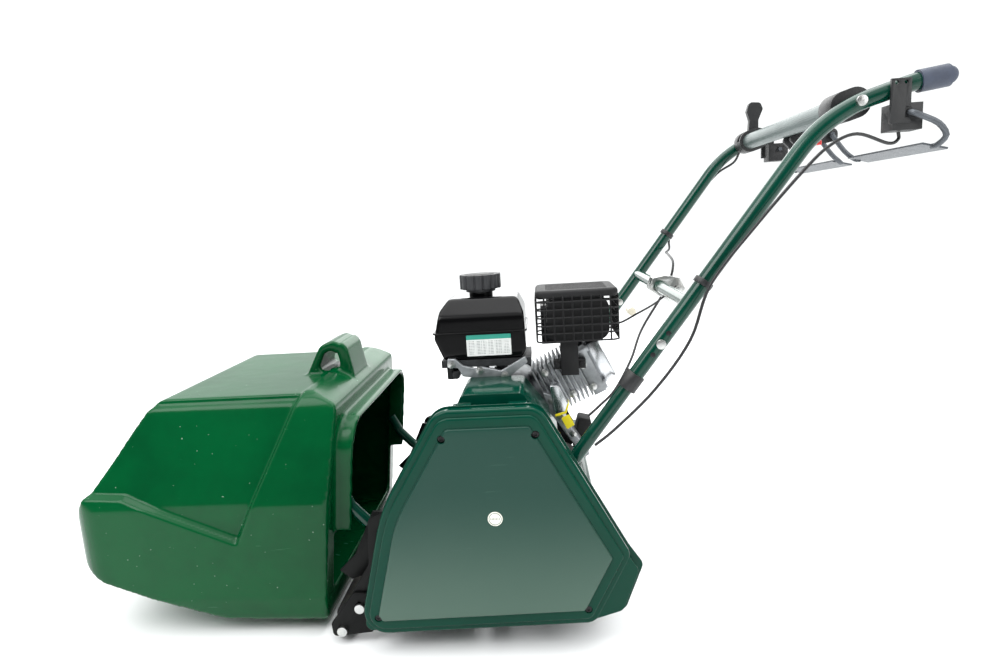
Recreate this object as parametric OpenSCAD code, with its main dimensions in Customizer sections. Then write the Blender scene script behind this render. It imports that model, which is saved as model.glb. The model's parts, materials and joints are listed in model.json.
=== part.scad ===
// Petrol cylinder mower with a grass box in front and push handles behind.
// +X points back to the handles, -Y is the chain case side, +Z is up and the ground is z = 0.

/* [Cutting cylinder] */
// Width of cut
cut_w = 510; // [400:10:620]
// Radius that the blade edges sweep
blade_r = 62; // [52:1:70]
// Number of spiral blades
blade_count = 6; // [5:1:10]
// Thickness of a spiral blade
blade_t = 4; // [3:0.5:6]
// Radial depth of a spiral blade
blade_h = 12; // [9:1:16]
// Twist of the blades from end to end, in degrees
blade_twist = 50; // [20:5:80]
// Height of cut
cut_h = 22; // [15:1:35]
// Radius of the cylinder's shaft
cutter_shaft_r = 12; // [9:0.5:15]
// Thickness of a spider disc
spider_t = 5; // [3:1:8]
// Distance of the cylinder ahead of the origin
cutter_x = -120; // [-135:1:-112]

/* [Rollers] */
// Radius of the rear roller
rear_r = 92; // [86:1:96]
// Distance of the rear roller behind the origin
rear_x = 132; // [124:1:136]
// Gap between the two halves of the rear roller
rear_gap = 3; // [2:0.5:8]
// Wall of a rear roller drum
drum_wall = 5; // [3:0.5:8]
// Radius of the rear axle
axle_r = 10; // [8:0.5:12]
// Radius of the front roller
front_r = 26; // [22:1:30]
// Distance of the front roller ahead of the origin
front_x = -264; // [-275:1:-255]

/* [Side frames] */
// Thickness of a side frame
plate_t = 6; // [4:0.5:8]
// Room between the cut width and each side frame
end_room = 39; // [32:1:50]
// Height of the engine bed's top
bed_z = 291; // [270:1:305]
// Thickness of the engine bed
bed_t = 5; // [4:0.5:8]
// Radius of the cross tubes
tie_r = 13; // [10:0.5:16]
// Radius of the front cross tube
front_tube_r = 16; // [12:0.5:18]

/* [Chain case] */
// Room between the side frame and the case's back
case_room = 16; // [14:1:24]
// Thickness of the case's back
case_t = 4; // [3:0.5:6]
// Depth of the chain cover
cover_d = 31; // [30:1:38]
// Wall of the chain cover
cover_wall = 3; // [2:0.5:4]
// Width of each raised step on the cover
cover_step = 13; // [8:1:15]
// Radius of the cover's screws
screw_r = 3; // [2:0.5:4]

/* [Engine] */
// Height of the crankshaft above the engine bed
crank_h = 75; // [72:1:90]
// Distance of the crankshaft behind the origin
crank_x = 52; // [45:1:60]
// Place of the engine across the machine
engine_y = -38; // [-45:1:-30]
// Slope of the engine's cylinder, in degrees
bore_tilt = 25; // [15:1:30]
// Length of the fuel tank
tank_l = 180; // [165:1:195]
// Width of the fuel tank
tank_w = 170; // [150:1:190]
// Height of the fuel tank
tank_h = 118; // [100:1:125]
// Radius of the fuel cap
cap_r = 42; // [34:1:46]

/* [Handle] */
// Height of the grips
handle_h = 914; // [840:1:980]
// Distance of the ends of the grips behind the origin
handle_x = 776; // [740:1:800]
// Outer radius of the upper handle tubes
upper_r = 13.5; // [12:0.25:15]
// Wall of the upper handle tubes
tube_wall = 1.2; // [1:0.1:2]
// Radius of a grip
grip_r = 17; // [16:0.5:19]
// Length of a grip
grip_l = 62; // [50:1:70]

/* [Grass box] */
// Half width of the box at its widest
box_half_w = 285; // [240:1:300]
// Length of the box
box_l = 520; // [420:1:560]
// Height of the box's body
box_h = 434; // [390:1:450]
// Wall of the box
box_wall = 4; // [3:0.5:5]

/* [Hidden] */
$fn = 48;

// Clearances
fit_gap = 0.2;
run_gap = 0.05;
move_gap = 0.5;

// Widths, measured from the middle plane
half_cut = cut_w / 2;
frame_in = half_cut + end_room;
frame_out = frame_in + plate_t;
case_in = frame_out + case_room;
case_out = case_in + case_t;
cover_out = case_out + cover_d;
handle_y = frame_in - upper_r - 0.5;
lower_r = upper_r - tube_wall - 0.3;

// Shaft places, as [x, z]
cutter_c = [cutter_x, cut_h + blade_r];
rear_c = [rear_x, rear_r];
front_c = [front_x, front_r];
jack_c = [18, bed_z - 76];
crank_c = [crank_x, bed_z + crank_h];
jack_r = 10;
crank_r = 10;

// Paints
green_dark = [0.02, 0.16, 0.11];
green_box = [0.01, 0.33, 0.16];
black = [0.04, 0.04, 0.045];
steel = [0.72, 0.73, 0.75];
cast = [0.66, 0.67, 0.68];

function unit(v) = v / norm(v);
function turn_of(a, b) = let (d = b - a) d > 180 ? d - 360 : (d < -180 ? d + 360 : d);

// Rounds one corner of an outline with an arc of n steps.
function corner(a, b, c, r, n) =
    let (u = unit(a - b))
    let (v = unit(c - b))
    let (half = acos(u * v) / 2)
    let (mid = b + unit(u + v) * r / sin(half))
    let (p = b + u * r / tan(half) - mid)
    let (q = b + v * r / tan(half) - mid)
    let (a0 = atan2(p[1], p[0]))
    let (sweep = turn_of(a0, atan2(q[1], q[0])))
    [for (k = [0 : n]) mid + r * [cos(a0 + sweep * k / n), sin(a0 + sweep * k / n)]];

function rounded(p, radii, n = 6) =
    let (m = len(p))
    [for (i = [0 : m - 1]) each corner(p[(i + m - 1) % m], p[i], p[(i + 1) % m], radii[i], n)];

// Moves every side of an anticlockwise outline inwards by d.
function inset(p, d) =
    let (m = len(p))
    [for (i = [0 : m - 1])
        let (u = unit(p[i] - p[(i + m - 1) % m]))
        let (v = unit(p[(i + 1) % m] - p[i]))
        let (n1 = [-u[1], u[0]])
        let (n2 = [-v[1], v[0]])
        p[i] + (n1 + n2) * d / (1 + n1 * n2)];

// Outline of a belt or chain stretched round two circles.
function loop_outline(c1, r1, c2, r2, n = 16) =
    let (d = c2 - c1)
    let (base = atan2(d[1], d[0]))
    let (lean = acos((r1 - r2) / norm(d)))
    concat(
        [for (k = [0 : n]) let (a = base + lean + (360 - 2 * lean) * k / n) c1 + r1 * [cos(a), sin(a)]],
        [for (k = [0 : n]) let (a = base - lean + 2 * lean * k / n) c2 + r2 * [cos(a), sin(a)]]);

// A flat shape drawn in X and Z, running from y0 to y1.
module across(y0, y1) {
    translate([0, y1, 0])
        rotate([90, 0, 0])
            linear_extrude(y1 - y0)
                children();
}

module shaft(c, r, y0, y1) {
    translate([c[0], y0, c[1]])
        rotate([-90, 0, 0])
            cylinder(r = r, h = y1 - y0);
}

module rod(a, b, r) {
    d = b - a;
    translate(a)
        rotate([0, acos(d[2] / norm(d)), atan2(d[1], d[0])])
            cylinder(r = r, h = norm(d));
}

module bent_bar(p, y, r, bend) {
    swept(bent_line(p, y, bend, 5), r, [0, 1, 0], 24);
}

module rod_path(p, r) {
    for (i = [0 : len(p) - 2]) rod(p[i], p[i + 1], r);
    for (i = [1 : len(p) - 2]) translate(p[i]) sphere(r = r);
}

// Points along a line through p in the XZ plane, with every corner bent to one radius.
function bent_line(p, y, bend, n) =
    let (m = len(p))
    let (flat = [p[0], for (i = [1 : m - 2]) each corner(p[i - 1], p[i], p[i + 1], bend, n), p[m - 1]])
    [for (q = flat) [q[0], y, q[1]]];

// Points of a smooth curve through the chosen points.
function spline(p, n) = concat([for (i = [0 : len(p) - 2]) for (k = [0 : n - 1])
    let (a = p[max(i - 1, 0)])
    let (b = p[i])
    let (c = p[i + 1])
    let (d = p[min(i + 2, len(p) - 1)])
    let (t = k / n)
    0.5 * (2 * b + (c - a) * t + (2 * a - 5 * b + 4 * c - d) * t * t
        + (3 * b - a - 3 * c + d) * t * t * t)], [p[len(p) - 1]]);

function ring(c, dir, side, r, sides) =
    let (x = unit(side - (side * dir) * dir))
    let (y = cross(dir, x))
    [for (k = [0 : sides - 1]) c + r * (cos(360 * k / sides) * x + sin(360 * k / sides) * y)];

// A round bar, tube or cable swept along a route.
module swept(p, r, side = [0, 1, 0], sides = 8) {
    m = len(p);
    pts = [for (i = [0 : m - 1]) each ring(p[i], unit(p[min(i + 1, m - 1)] - p[max(i - 1, 0)]), side, r, sides)];
    walls = [for (i = [0 : m - 2]) for (k = [0 : sides - 1])
        [i * sides + k, i * sides + (k + 1) % sides, (i + 1) * sides + (k + 1) % sides, (i + 1) * sides + k]];
    caps = [[for (k = [0 : sides - 1]) sides - 1 - k], [for (k = [0 : sides - 1]) (m - 1) * sides + k]];
    polyhedron(points = pts, faces = [for (f = concat(walls, caps)) [for (k = [len(f) - 1 : -1 : 0]) f[k]]],
        convexity = 6);
}

// ---- Side frames and cross members ----

frame_z = 42;
plate_top = bed_z - 2;
side_outline = [[-240, frame_z + 6], [-60, frame_z], [185, frame_z], [212, 84], [212, 180], [180, 240],
                [176, bed_z + 36], [104, bed_z + 36], [96, plate_top], [-60, plate_top], [-140, 262],
                [-200, 238], [-206, 150], [-240, 100]];
side_radii = [10, 60, 20, 20, 30, 12, 10, 8, 6, 12, 30, 15, 20, 12];
window = [[-50, 95], [60, 95], [88, 125], [60, 155], [0, 175], [-48, 150]];
window_radii = [10, 10, 10, 20, 20, 12];
housing_r = 24;
stud_r = 4;
tie_places = [[-112, 232], [196, 206], [0, 62]];
front_tube_c = [-176, 210];
height_bolt = [-228, 70];
tow_c = [192, 148];
tow_r = 6.5;

// The bottom blade's edge sits just clear of the cylinder, a little behind its lowest point.
edge_angle = 20;
edge_c = cutter_c + (blade_r + 0.4) * [sin(edge_angle), -cos(edge_angle)];
pivot_c = edge_c + [42, 8];
pivot_r = 6;

module side_frame() {
    difference() {
        across(frame_in, frame_out) polygon(rounded(side_outline, side_radii));
        across(frame_in - 1, frame_out + 1) polygon(rounded(window, window_radii));
        for (c = [cutter_c, jack_c, rear_c])
            shaft(c, housing_r + fit_gap, frame_in - 1, frame_out + 1);
        shaft(pivot_c, pivot_r + run_gap, frame_in - 1, frame_out + 1);
        for (c = concat(tie_places, foot_bolts, [front_tube_c, height_bolt]))
            shaft(c, stud_r + fit_gap, frame_in - 1, frame_out + 1);
        shaft(tow_c, tow_r, frame_in - 1, frame_out + 1);
    }
}

module left_side_frame() {
    color(green_dark) mirror([0, 1, 0]) side_frame();
}

module right_side_frame() {
    color(green_dark) side_frame();
}

// A tube between the side frames, with a stud and a nut at each end.
module cross_tube(c, r) {
    difference() {
        shaft(c, r, -frame_in, frame_in);
        shaft(c, r - 3, -frame_in + 8, frame_in - 8);
    }
    for (s = [0, 1]) mirror([0, s, 0]) {
        shaft(c, stud_r, frame_in - 4, frame_out + 7);
        shaft(c, 8, frame_out, frame_out + 5);
    }
}

module tie_tubes() {
    color(green_dark) for (c = tie_places) cross_tube(c, tie_r);
}

module front_tube() {
    color(black) cross_tube(front_tube_c, front_tube_r);
}

// Two bent arms rise forward from the front tube and carry the grass box.
hanger_r = 11;
hanger_y = 224;
hanger_path = [[-178, 188], [-216, 190], [-252, 230], [-270, 270]];

module hanger_tubes() {
    color(green_dark) for (y = [-hanger_y, hanger_y]) difference() {
        bent_bar(hanger_path, y, hanger_r, 24);
        shaft(front_tube_c, front_tube_r, y - 20, y + 20);
    }
}

// Pointed plates clamped on the front tube catch the lower edge of the grass box.
hook_y = frame_in - 34;
hook_t = 6;
hook_outline = [[-226, 112], [-192, 142], [-152, 188], [-152, 232], [-200, 236], [-240, 152], [-272, 122], [-250, 104]];

module hanger_hooks() {
    color(black) for (s = [0, 1]) mirror([0, s, 0]) difference() {
        across(hook_y, hook_y + hook_t) polygon(hook_outline);
        shaft(front_tube_c, front_tube_r, hook_y - 1, hook_y + hook_t + 1);
    }
}

bed_x = [-58, 146];
bed_edge = frame_in - fit_gap;
bed_bolt_r = 4;
bed_bolts = [for (x = [-8, 112]) for (y = [-80, 34]) [x, y]];
cowl_y = [-handle_y + lower_r + 8, -126];
tab_x = [-38, 60];
belt_y = [-186, -162];

module engine_bed() {
    color(green_dark) difference() {
        union() {
            translate([bed_x[0], -bed_edge, bed_z - bed_t])
                cube([bed_x[1] - bed_x[0], 2 * bed_edge, bed_t]);
            for (s = [0, 1]) mirror([0, s, 0])
                translate([bed_x[0], bed_edge - bed_t, bed_z - 22])
                    cube([bed_x[1] - bed_x[0], bed_t, 22]);
        }
        translate([-48, belt_y[0] - 8, bed_z - bed_t - 1])
            cube([150, belt_y[1] - belt_y[0] + 16, bed_t + 2]);
        for (b = bed_bolts) translate([b[0], b[1], bed_z - bed_t - 1]) cylinder(r = bed_bolt_r, h = bed_t + 2);
    }
}

cowl_outline = [[-40, bed_z], [131, bed_z], [131, 380], [84, 444], [-24, 444], [-40, 410]];
cowl_wall = 3;

module clutch_cowl() {
    color(green_dark) for (x = tab_x) translate([x, -case_in, 426]) cube([32, case_in + cowl_y[0] + 1, 4]);
    color(green_dark) difference() {
        across(cowl_y[0], cowl_y[1]) polygon(rounded(cowl_outline, [1, 1, 14, 14, 12, 12]));
        across(cowl_y[0] + cowl_wall, cowl_y[1] - cowl_wall) polygon(inset(cowl_outline, cowl_wall));
        translate([-37, cowl_y[0] + cowl_wall, bed_z - 1])
            cube([165, cowl_y[1] - cowl_y[0] - 2 * cowl_wall, cowl_wall + 2]);
        shaft(crank_c, crank_r + 2, cowl_y[1] - cowl_wall - 1, cowl_y[1] + 1);
    }
}

// The deflector curves over the cylinder and throws the clippings forward.
deflector_r = blade_r + 16;

module grass_deflector() {
    color(black) translate([cutter_c[0], frame_in - 2, cutter_c[1]])
        rotate([90, 0, 0])
            rotate([0, 0, 20])
                rotate_extrude(angle = 108)
                    translate([deflector_r, 0])
                        square([2, 2 * frame_in - 4]);
}

// ---- Chain case ----

cover_outline = [[-223, 39], [192, 53], [256, 176], [114, 440], [-59, 440], [-166, 264]];
cover_radii = [40, 26, 22, 36, 40, 300];
lobe_outline = [[-225, 37], [190, 50], [246, 68], [278, 150], [254, 186], [116, 442], [-60, 442], [-168, 265]];
lobe_radii = [40, 60, 14, 14, 30, 36, 40, 300];
screw_places = [[-50, 394], [105, 396], [-184, 74], [180, 82]];
step_h = 5;
post_r = 8;
ledge_y = cover_out - 2 * step_h;
cutter_chain_y = case_out + 6;
roller_chain_y = case_out + 14;
chain_w = 5;
chain_t = 5;
tooth_gap = 0.6;
cutter_pitch_r = 20;
cutter_drive_r = 32;
roller_pitch_r = 26;
roller_drive_r = 14;
tooth_h = 2;

module chain_case_back() {
    color(green_dark) mirror([0, 1, 0]) difference() {
        union() {
            across(case_in, case_out) polygon(rounded(lobe_outline, lobe_radii));
            for (c = screw_places) shaft(c, post_r, case_out - 1, ledge_y - cover_wall);
            for (c = [[-160, 160], [-60, 320], [120, 270]]) shaft(c, 7, frame_out, case_in + 1);
        }
        for (c = [cutter_c, jack_c]) shaft(c, cutter_shaft_r + 3, case_in - 1, case_out + 1);
        shaft(rear_c, axle_r + 3, case_in - 1, case_out + 1);
        for (c = screw_places) shaft(c, screw_r, case_out - 2, ledge_y);
    }
}

module cover_level(d, y1) {
    across(case_out, y1) polygon(rounded(inset(cover_outline, d), [for (r = cover_radii) max(r - d, 6)]));
}

module chain_cover() {
    color(green_dark) mirror([0, 1, 0]) difference() {
        union() for (k = [0 : 2]) cover_level(cover_step * k, ledge_y + step_h * k);
        for (k = [0 : 2]) translate([0, -1, 0])
            cover_level(cover_step * k + cover_wall, ledge_y + step_h * k - cover_wall + 1);
        for (c = screw_places) {
            shaft(c, screw_r + fit_gap, case_out, cover_out + 1);
            shaft(c, 2 * screw_r + fit_gap, ledge_y, cover_out + 1);
        }
    }
}

module cover_screws() {
    color(black) mirror([0, 1, 0]) for (c = screw_places) difference() {
        union() {
            shaft(c, screw_r, case_out, ledge_y + 1);
            shaft(c, 2 * screw_r, ledge_y, ledge_y + 3);
        }
        translate([c[0], ledge_y + 1.5, c[1]]) rotate([-90, 0, 0]) cylinder(r = screw_r, h = 3, $fn = 6);
    }
}

right_outline = [[-190, 52], [-58, 52], [-40, 150], [-90, 190], [-150, 190], [-200, 150]];
right_cover_d = cover_out - frame_out - 14;

module right_cover() {
    color(green_dark) difference() {
        across(frame_out + 14, frame_out + 14 + right_cover_d)
            polygon(rounded(right_outline, [24, 20, 24, 24, 24, 24]));
        across(frame_out + 13, frame_out + 11 + right_cover_d)
            polygon(rounded(inset(right_outline, 3), [21, 17, 21, 21, 21, 21]));
    }
    color(green_dark) for (c = [[-176, 120], [-66, 70]]) shaft(c, 6, frame_out, frame_out + 12 + right_cover_d);
}

// Flanged housings for the cylinder, the jackshaft and the rear axle, on both side frames.
module housing(c, bore) {
    difference() {
        union() {
            shaft(c, housing_r, frame_in - 8, frame_out + 1);
            shaft(c, housing_r + 9, frame_out, frame_out + 8);
        }
        shaft(c, bore + run_gap, frame_in - 9, frame_out + 9);
    }
}

module bearing_housings() {
    color(steel) for (s = [0, 1]) mirror([0, s, 0]) {
        housing(cutter_c, cutter_shaft_r);
        housing(jack_c, jack_r);
        housing(rear_c, axle_r);
    }
}

function teeth(r) = floor(2 * PI * r / 8);
function sprocket_outline(r) = let (n = teeth(r)) [for (k = [0 : 4 * n - 1])
    let (a = 90 * k / n)
    (r + (k % 4 < 2 ? tooth_h : -tooth_h)) * [cos(a), sin(a)]];

module sprocket(c, r, y, t, hole) {
    difference() {
        translate([c[0], 0, c[1]]) across(y - t / 2, y + t / 2) polygon(sprocket_outline(r));
        shaft(c, hole, y - t, y + t);
    }
}

module chain(c1, r1, c2, r2, y0, y1, t) {
    g = tooth_h + tooth_gap;
    across(y0, y1) difference() {
        polygon(loop_outline(c1, r1 + g + t, c2, r2 + g + t));
        polygon(loop_outline(c1, r1 + g, c2, r2 + g));
    }
}

module drive_chains() {
    color(steel) mirror([0, 1, 0]) {
        chain(jack_c, cutter_drive_r, cutter_c, cutter_pitch_r,
            cutter_chain_y - chain_w / 2, cutter_chain_y + chain_w / 2, chain_t);
        chain(jack_c, roller_drive_r, rear_c, roller_pitch_r,
            roller_chain_y - chain_w / 2, roller_chain_y + chain_w / 2, chain_t);
    }
}

crank_pulley_r = 28;
jack_pulley_r = 56;

module drive_belt() {
    color(black) chain(crank_c, crank_pulley_r - tooth_h, jack_c, jack_pulley_r - tooth_h,
        belt_y[0] + 4, belt_y[1] - 4, 4);
}

// ---- Cutting cylinder and bottom blade ----

module cutter_shaft() {
    color(steel) difference() {
        union() {
            shaft(cutter_c, cutter_shaft_r, -cutter_chain_y - 5, frame_out + 12);
            mirror([0, 1, 0]) sprocket(cutter_c, cutter_pitch_r, cutter_chain_y, 3.5, 2);
        }
        shaft(cutter_c, 2, frame_out, frame_out + 13);
    }
}

spider_count = 5;
function spider_y(k) = -half_cut + 20 + (cut_w - 40) * k / (spider_count - 1);
function twist_at(y) = -blade_twist * (y + half_cut) / cut_w;

module cutter_spiders() {
    color(green_dark) for (k = [0 : spider_count - 1]) {
        y = spider_y(k);
        translate([cutter_c[0], y - spider_t / 2, cutter_c[1]]) rotate([-90, 0, 0]) difference() {
            union() {
                cylinder(r = cutter_shaft_r + 12, h = spider_t);
                for (b = [0 : blade_count - 1]) rotate([0, 0, twist_at(y) + 360 * b / blade_count])
                    translate([cutter_shaft_r + 8, -blade_t, 0])
                        cube([blade_r - blade_h - cutter_shaft_r - 8.5, 2 * blade_t, spider_t]);
            }
            translate([0, 0, -1]) cylinder(r = cutter_shaft_r, h = spider_t + 2);
        }
    }
}

module cutter_blades() {
    color(steel) translate([cutter_c[0], -half_cut, cutter_c[1]]) rotate([-90, 0, 0])
        for (b = [0 : blade_count - 1]) rotate([0, 0, 360 * b / blade_count])
            linear_extrude(cut_w, twist = blade_twist, slices = 20)
                translate([blade_r - blade_h, -blade_t / 2])
                    square([blade_h, blade_t]);
}

blade_len = frame_in - 2;

module bottom_blade() {
    color(steel) translate([edge_c[0], -half_cut, edge_c[1] - 3]) cube([50, cut_w, 3]);
}

module sole_bar() {
    color(green_dark) {
        translate([edge_c[0] + 30, -blade_len, edge_c[1]]) cube([24, 2 * blade_len, 16]);
        for (s = [0, 1]) mirror([0, s, 0]) shaft(pivot_c, pivot_r, blade_len - 4, frame_out + 4);
    }
}

// ---- Shafts and rollers ----

module jackshaft() {
    color(steel) {
        shaft(jack_c, jack_r, -roller_chain_y - 5, frame_out + 12);
        mirror([0, 1, 0]) sprocket(jack_c, cutter_drive_r, cutter_chain_y, 3.5, 2);
        mirror([0, 1, 0]) sprocket(jack_c, roller_drive_r, roller_chain_y, 3.5, 2);
        shaft(jack_c, jack_pulley_r, belt_y[0] + 3, belt_y[1] - 3);
        shaft(jack_c, jack_pulley_r + 5, belt_y[0], belt_y[0] + 3);
        shaft(jack_c, jack_pulley_r + 5, belt_y[1] - 3, belt_y[1]);
    }
}

module rear_axle() {
    color(steel) {
        shaft(rear_c, axle_r, -roller_chain_y - 5, frame_out + 12);
        mirror([0, 1, 0]) sprocket(rear_c, roller_pitch_r, roller_chain_y, 3.5, 2);
    }
}

drum_disc = 8;

module drum() {
    y0 = rear_gap / 2;
    difference() {
        translate([rear_c[0], y0, rear_c[1]]) rotate([-90, 0, 0])
            rotate_extrude()
                polygon([[axle_r + run_gap, 0], [rear_r - 4, 0], [rear_r, 4], [rear_r, half_cut - y0 - 14],
                    [rear_r - 4, half_cut - y0 - 4], [rear_r - 14, half_cut - y0], [axle_r + run_gap, half_cut - y0]]);
        difference() {
            shaft(rear_c, rear_r - drum_wall, y0 + drum_disc, half_cut - 14);
            shaft(rear_c, axle_r + 8, y0, half_cut);
        }
    }
}

module left_rear_roller() {
    color(black) mirror([0, 1, 0]) drum();
}

module right_rear_roller() {
    color(black) drum();
}

front_axle_r = 6;
bracket_y = frame_out + fit_gap;
bracket_t = 5;
height_travel = 8;

module front_roller() {
    color(black) difference() {
        union() {
            shaft(front_c, front_r, -half_cut, half_cut);
            for (s = [0, 1]) mirror([0, s, 0]) shaft(front_c, front_r - 8, half_cut - 1, frame_out - 6);
        }
        shaft(front_c, front_axle_r + run_gap, -frame_out, frame_out);
    }
}

module front_axle() {
    color(steel) {
        shaft(front_c, front_axle_r, -bracket_y - bracket_t, bracket_y + bracket_t);
        for (s = [0, 1]) mirror([0, s, 0])
            shaft(front_c, 9, bracket_y + bracket_t, bracket_y + bracket_t + 6);
    }
}

bracket_outline = [[-282, 14], [-206, 22], [-202, 96], [-238, 100], [-284, 40]];

module front_roller_brackets() {
    color(black) for (s = [0, 1]) mirror([0, s, 0]) difference() {
        across(bracket_y, bracket_y + bracket_t) polygon(rounded(bracket_outline, [8, 8, 8, 12, 10]));
        shaft(front_c, front_axle_r, bracket_y - 1, bracket_y + bracket_t + 1);
        for (z = [-height_travel, height_travel])
            shaft(height_bolt + [0, z], stud_r + move_gap, bracket_y - 1, bracket_y + bracket_t + 1);
        translate([height_bolt[0] - stud_r - move_gap, bracket_y - 1, height_bolt[1] - height_travel])
            cube([2 * (stud_r + move_gap), bracket_t + 2, 2 * height_travel]);
    }
}

module bracket_bolts() {
    color(steel) for (s = [0, 1]) mirror([0, s, 0]) {
        shaft(height_bolt, stud_r, frame_in - 6, bracket_y + bracket_t + 3);
        shaft(height_bolt, 9, bracket_y + bracket_t + fit_gap, bracket_y + bracket_t + 6);
        shaft(height_bolt, 8, frame_in - 7, frame_in);
    }
}

// ---- Engine ----

case_y = [-100, 56];
case_top = bed_z + 146;
barrel_start = 62;
head_start = 165;
head_t = 25;
valve_t = 30;
fin_count = 10;
fin_gap = 9.5;

// Places things in the frame of the engine's sloping cylinder, with X along its bore.
module on_bore() {
    translate([crank_c[0], engine_y, crank_c[1]])
        rotate([0, -bore_tilt, 0])
            children();
}

module crankcase() {
    color(cast) difference() {
        union() {
            across(case_y[0], case_y[1])
                polygon(rounded([[-22, bed_z + 14], [122, bed_z + 14], [128, crank_c[1] + 30], [70, case_top],
                    [-8, case_top], [-24, crank_c[1] + 20]], [10, 10, 20, 24, 22, 20]));
            translate([-24, case_y[0] + 4, bed_z]) cube([152, case_y[1] - case_y[0] - 8, 15]);
            shaft(crank_c, 46, case_y[0] - 10, case_y[0] + 1);
            shaft(crank_c, 26, case_y[0] - 18, case_y[0]);
        }
        on_bore() translate([barrel_start, -80, -80]) cube([120, 160, 160]);
        shaft(crank_c, crank_r + run_gap, case_y[0] - 20, case_y[1] + 1);
        for (b = bed_bolts) translate([b[0], b[1], bed_z - 1]) cylinder(r = bed_bolt_r, h = 30);
    }
}

module cylinder_barrel() {
    color(cast) on_bore() {
        translate([barrel_start, 0, 0]) rotate([0, 90, 0]) cylinder(r = 42, h = head_start - barrel_start);
        for (k = [0 : fin_count - 1])
            translate([barrel_start + 12 + fin_gap * k, -56, -50]) cube([3.5, 112, 100]);
    }
}

module cylinder_head() {
    color(cast) on_bore() difference() {
        union() {
            translate([head_start, -57, -52]) cube([head_t, 114, 104]);
            for (y = [-49, 49]) for (z = [-42, 42])
                translate([head_start, y, z]) rotate([0, 90, 0]) cylinder(r = 9, h = head_t + 5);
        }
        translate([head_start + 13, 45, 10]) rotate([-90, 0, 0]) cylinder(r = 7, h = 20);
    }
}

module valve_cover() {
    color(steel) on_bore() difference() {
        translate([head_start + head_t, -36, -44]) cube([valve_t, 72, 88]);
        for (z = [-1, 1]) translate([head_start + head_t + valve_t, 0, z * 48])
            rotate([0, 45, 0]) cube([14, 80, 14], center = true);
    }
}

module spark_plug() {
    color(black) on_bore() translate([head_start + 13, 45, 10]) rotate([-90, 0, 0]) {
        cylinder(r = 7, h = 14);
        translate([0, 0, 13]) cylinder(r = 11, h = 28);
    }
}

module crankshaft() {
    color(steel) {
        shaft(crank_c, crank_r, -250, case_y[1] + 30);
        shaft(crank_c, flywheel_r, case_y[1] + 8, case_y[1] + 30);
    }
}

// The centrifugal clutch's drum runs free on the crankshaft and carries the belt pulley.
module clutch_drum() {
    color(steel) difference() {
        union() {
            shaft(crank_c, crank_pulley_r, belt_y[0] + 3, belt_y[1] - 3);
            shaft(crank_c, crank_pulley_r + 5, belt_y[1] - 3, belt_y[1]);
            shaft(crank_c, 40, -236, belt_y[0] + 3);
        }
        shaft(crank_c, crank_r + run_gap, -237, belt_y[1] + 1);
    }
}

recoil_y = [case_y[1] + 2, case_y[1] + 62];
recoil_r = crank_h - 3;
flywheel_r = recoil_r - 8;

module recoil_housing() {
    color(black) difference() {
        union() {
            shaft(crank_c, recoil_r, recoil_y[0], recoil_y[1] - 12);
            shaft(crank_c, recoil_r - 28, recoil_y[1] - 13, recoil_y[1]);
        }
        shaft(crank_c, recoil_r - 4, recoil_y[0] - 1, recoil_y[1] - 16);
        for (k = [0 : 11]) rotate_about(crank_c, 30 * k)
            shaft(crank_c + [recoil_r - 40, 0], 5, recoil_y[1] - 20, recoil_y[1] + 1);
    }
}

module rotate_about(c, a) {
    translate([c[0], 0, c[1]]) rotate([0, a, 0]) translate([-c[0], 0, -c[1]]) children();
}

// The starter's pull handle is parked against the handle frame on its rope.
starter_at = [330, 150, 520];

module starter_grip() {
    color([0.85, 0.8, 0.68]) translate(starter_at) rotate([0, 35, 0]) difference() {
        union() {
            translate([0, -22, 0]) rotate([-90, 0, 0]) cylinder(r = 9, h = 44);
            cylinder(r = 6, h = 18, center = true);
        }
        cylinder(r = 2.5, h = 40, center = true);
    }
}

tank_x = [-88, -88 + tank_l];
tank_y = [-120, -120 + tank_w];
tank_z = bed_z + 186;
seam_z = tank_z + 52;
tank_top = tank_z + tank_h;
cap_c = [3, -35];

module fuel_tank() {
    color(black) {
        intersection() {
            across(tank_y[0], tank_y[1])
                polygon(rounded([[tank_x[0] + 18, tank_z], [tank_x[1] - 10, tank_z], [tank_x[1], tank_z + 16],
                    [tank_x[1] - 2, tank_top - 30], [tank_x[1] - 14, tank_top], [tank_x[0] + 30, tank_top],
                    [tank_x[0] + 12, tank_top - 22], [tank_x[0], tank_z + 44]], [8, 8, 8, 14, 12, 12, 14, 12]));
            translate([tank_x[0] - 5, 0, 0]) rotate([90, 0, 90]) linear_extrude(tank_l + 10)
                polygon(rounded([[tank_y[0] + 6, tank_z - 1], [tank_y[1] - 6, tank_z - 1], [tank_y[1], tank_z + 20],
                    [tank_y[1] - 4, tank_top - 34], [tank_y[1] - 36, tank_top + 1], [tank_y[0] + 36, tank_top + 1],
                    [tank_y[0] + 4, tank_top - 34], [tank_y[0], tank_z + 20]], [8, 8, 8, 14, 12, 12, 14, 8]));
        }
        translate([tank_x[0] - 3, tank_y[0] - 3, seam_z]) cube([tank_l + 6, tank_w + 6, 4]);
        translate([cap_c[0], cap_c[1], tank_top - 2]) cylinder(r = 24, h = 26);
    }
}

cap_z = tank_top + 12;
cap_h = 36;

module fuel_cap() {
    color(black) translate([cap_c[0], cap_c[1], cap_z]) difference() {
        union() {
            cylinder(r = cap_r - 10, h = cap_h - 12);
            translate([0, 0, cap_h - 18]) cylinder(r = cap_r, h = 18);
        }
        translate([0, 0, -1]) cylinder(r = 24 + move_gap, h = 14);
        for (k = [0 : 15]) rotate([0, 0, 22.5 * k]) translate([cap_r + 2, 0, cap_h - 19]) cylinder(r = 4, h = 20);
    }
}

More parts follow.
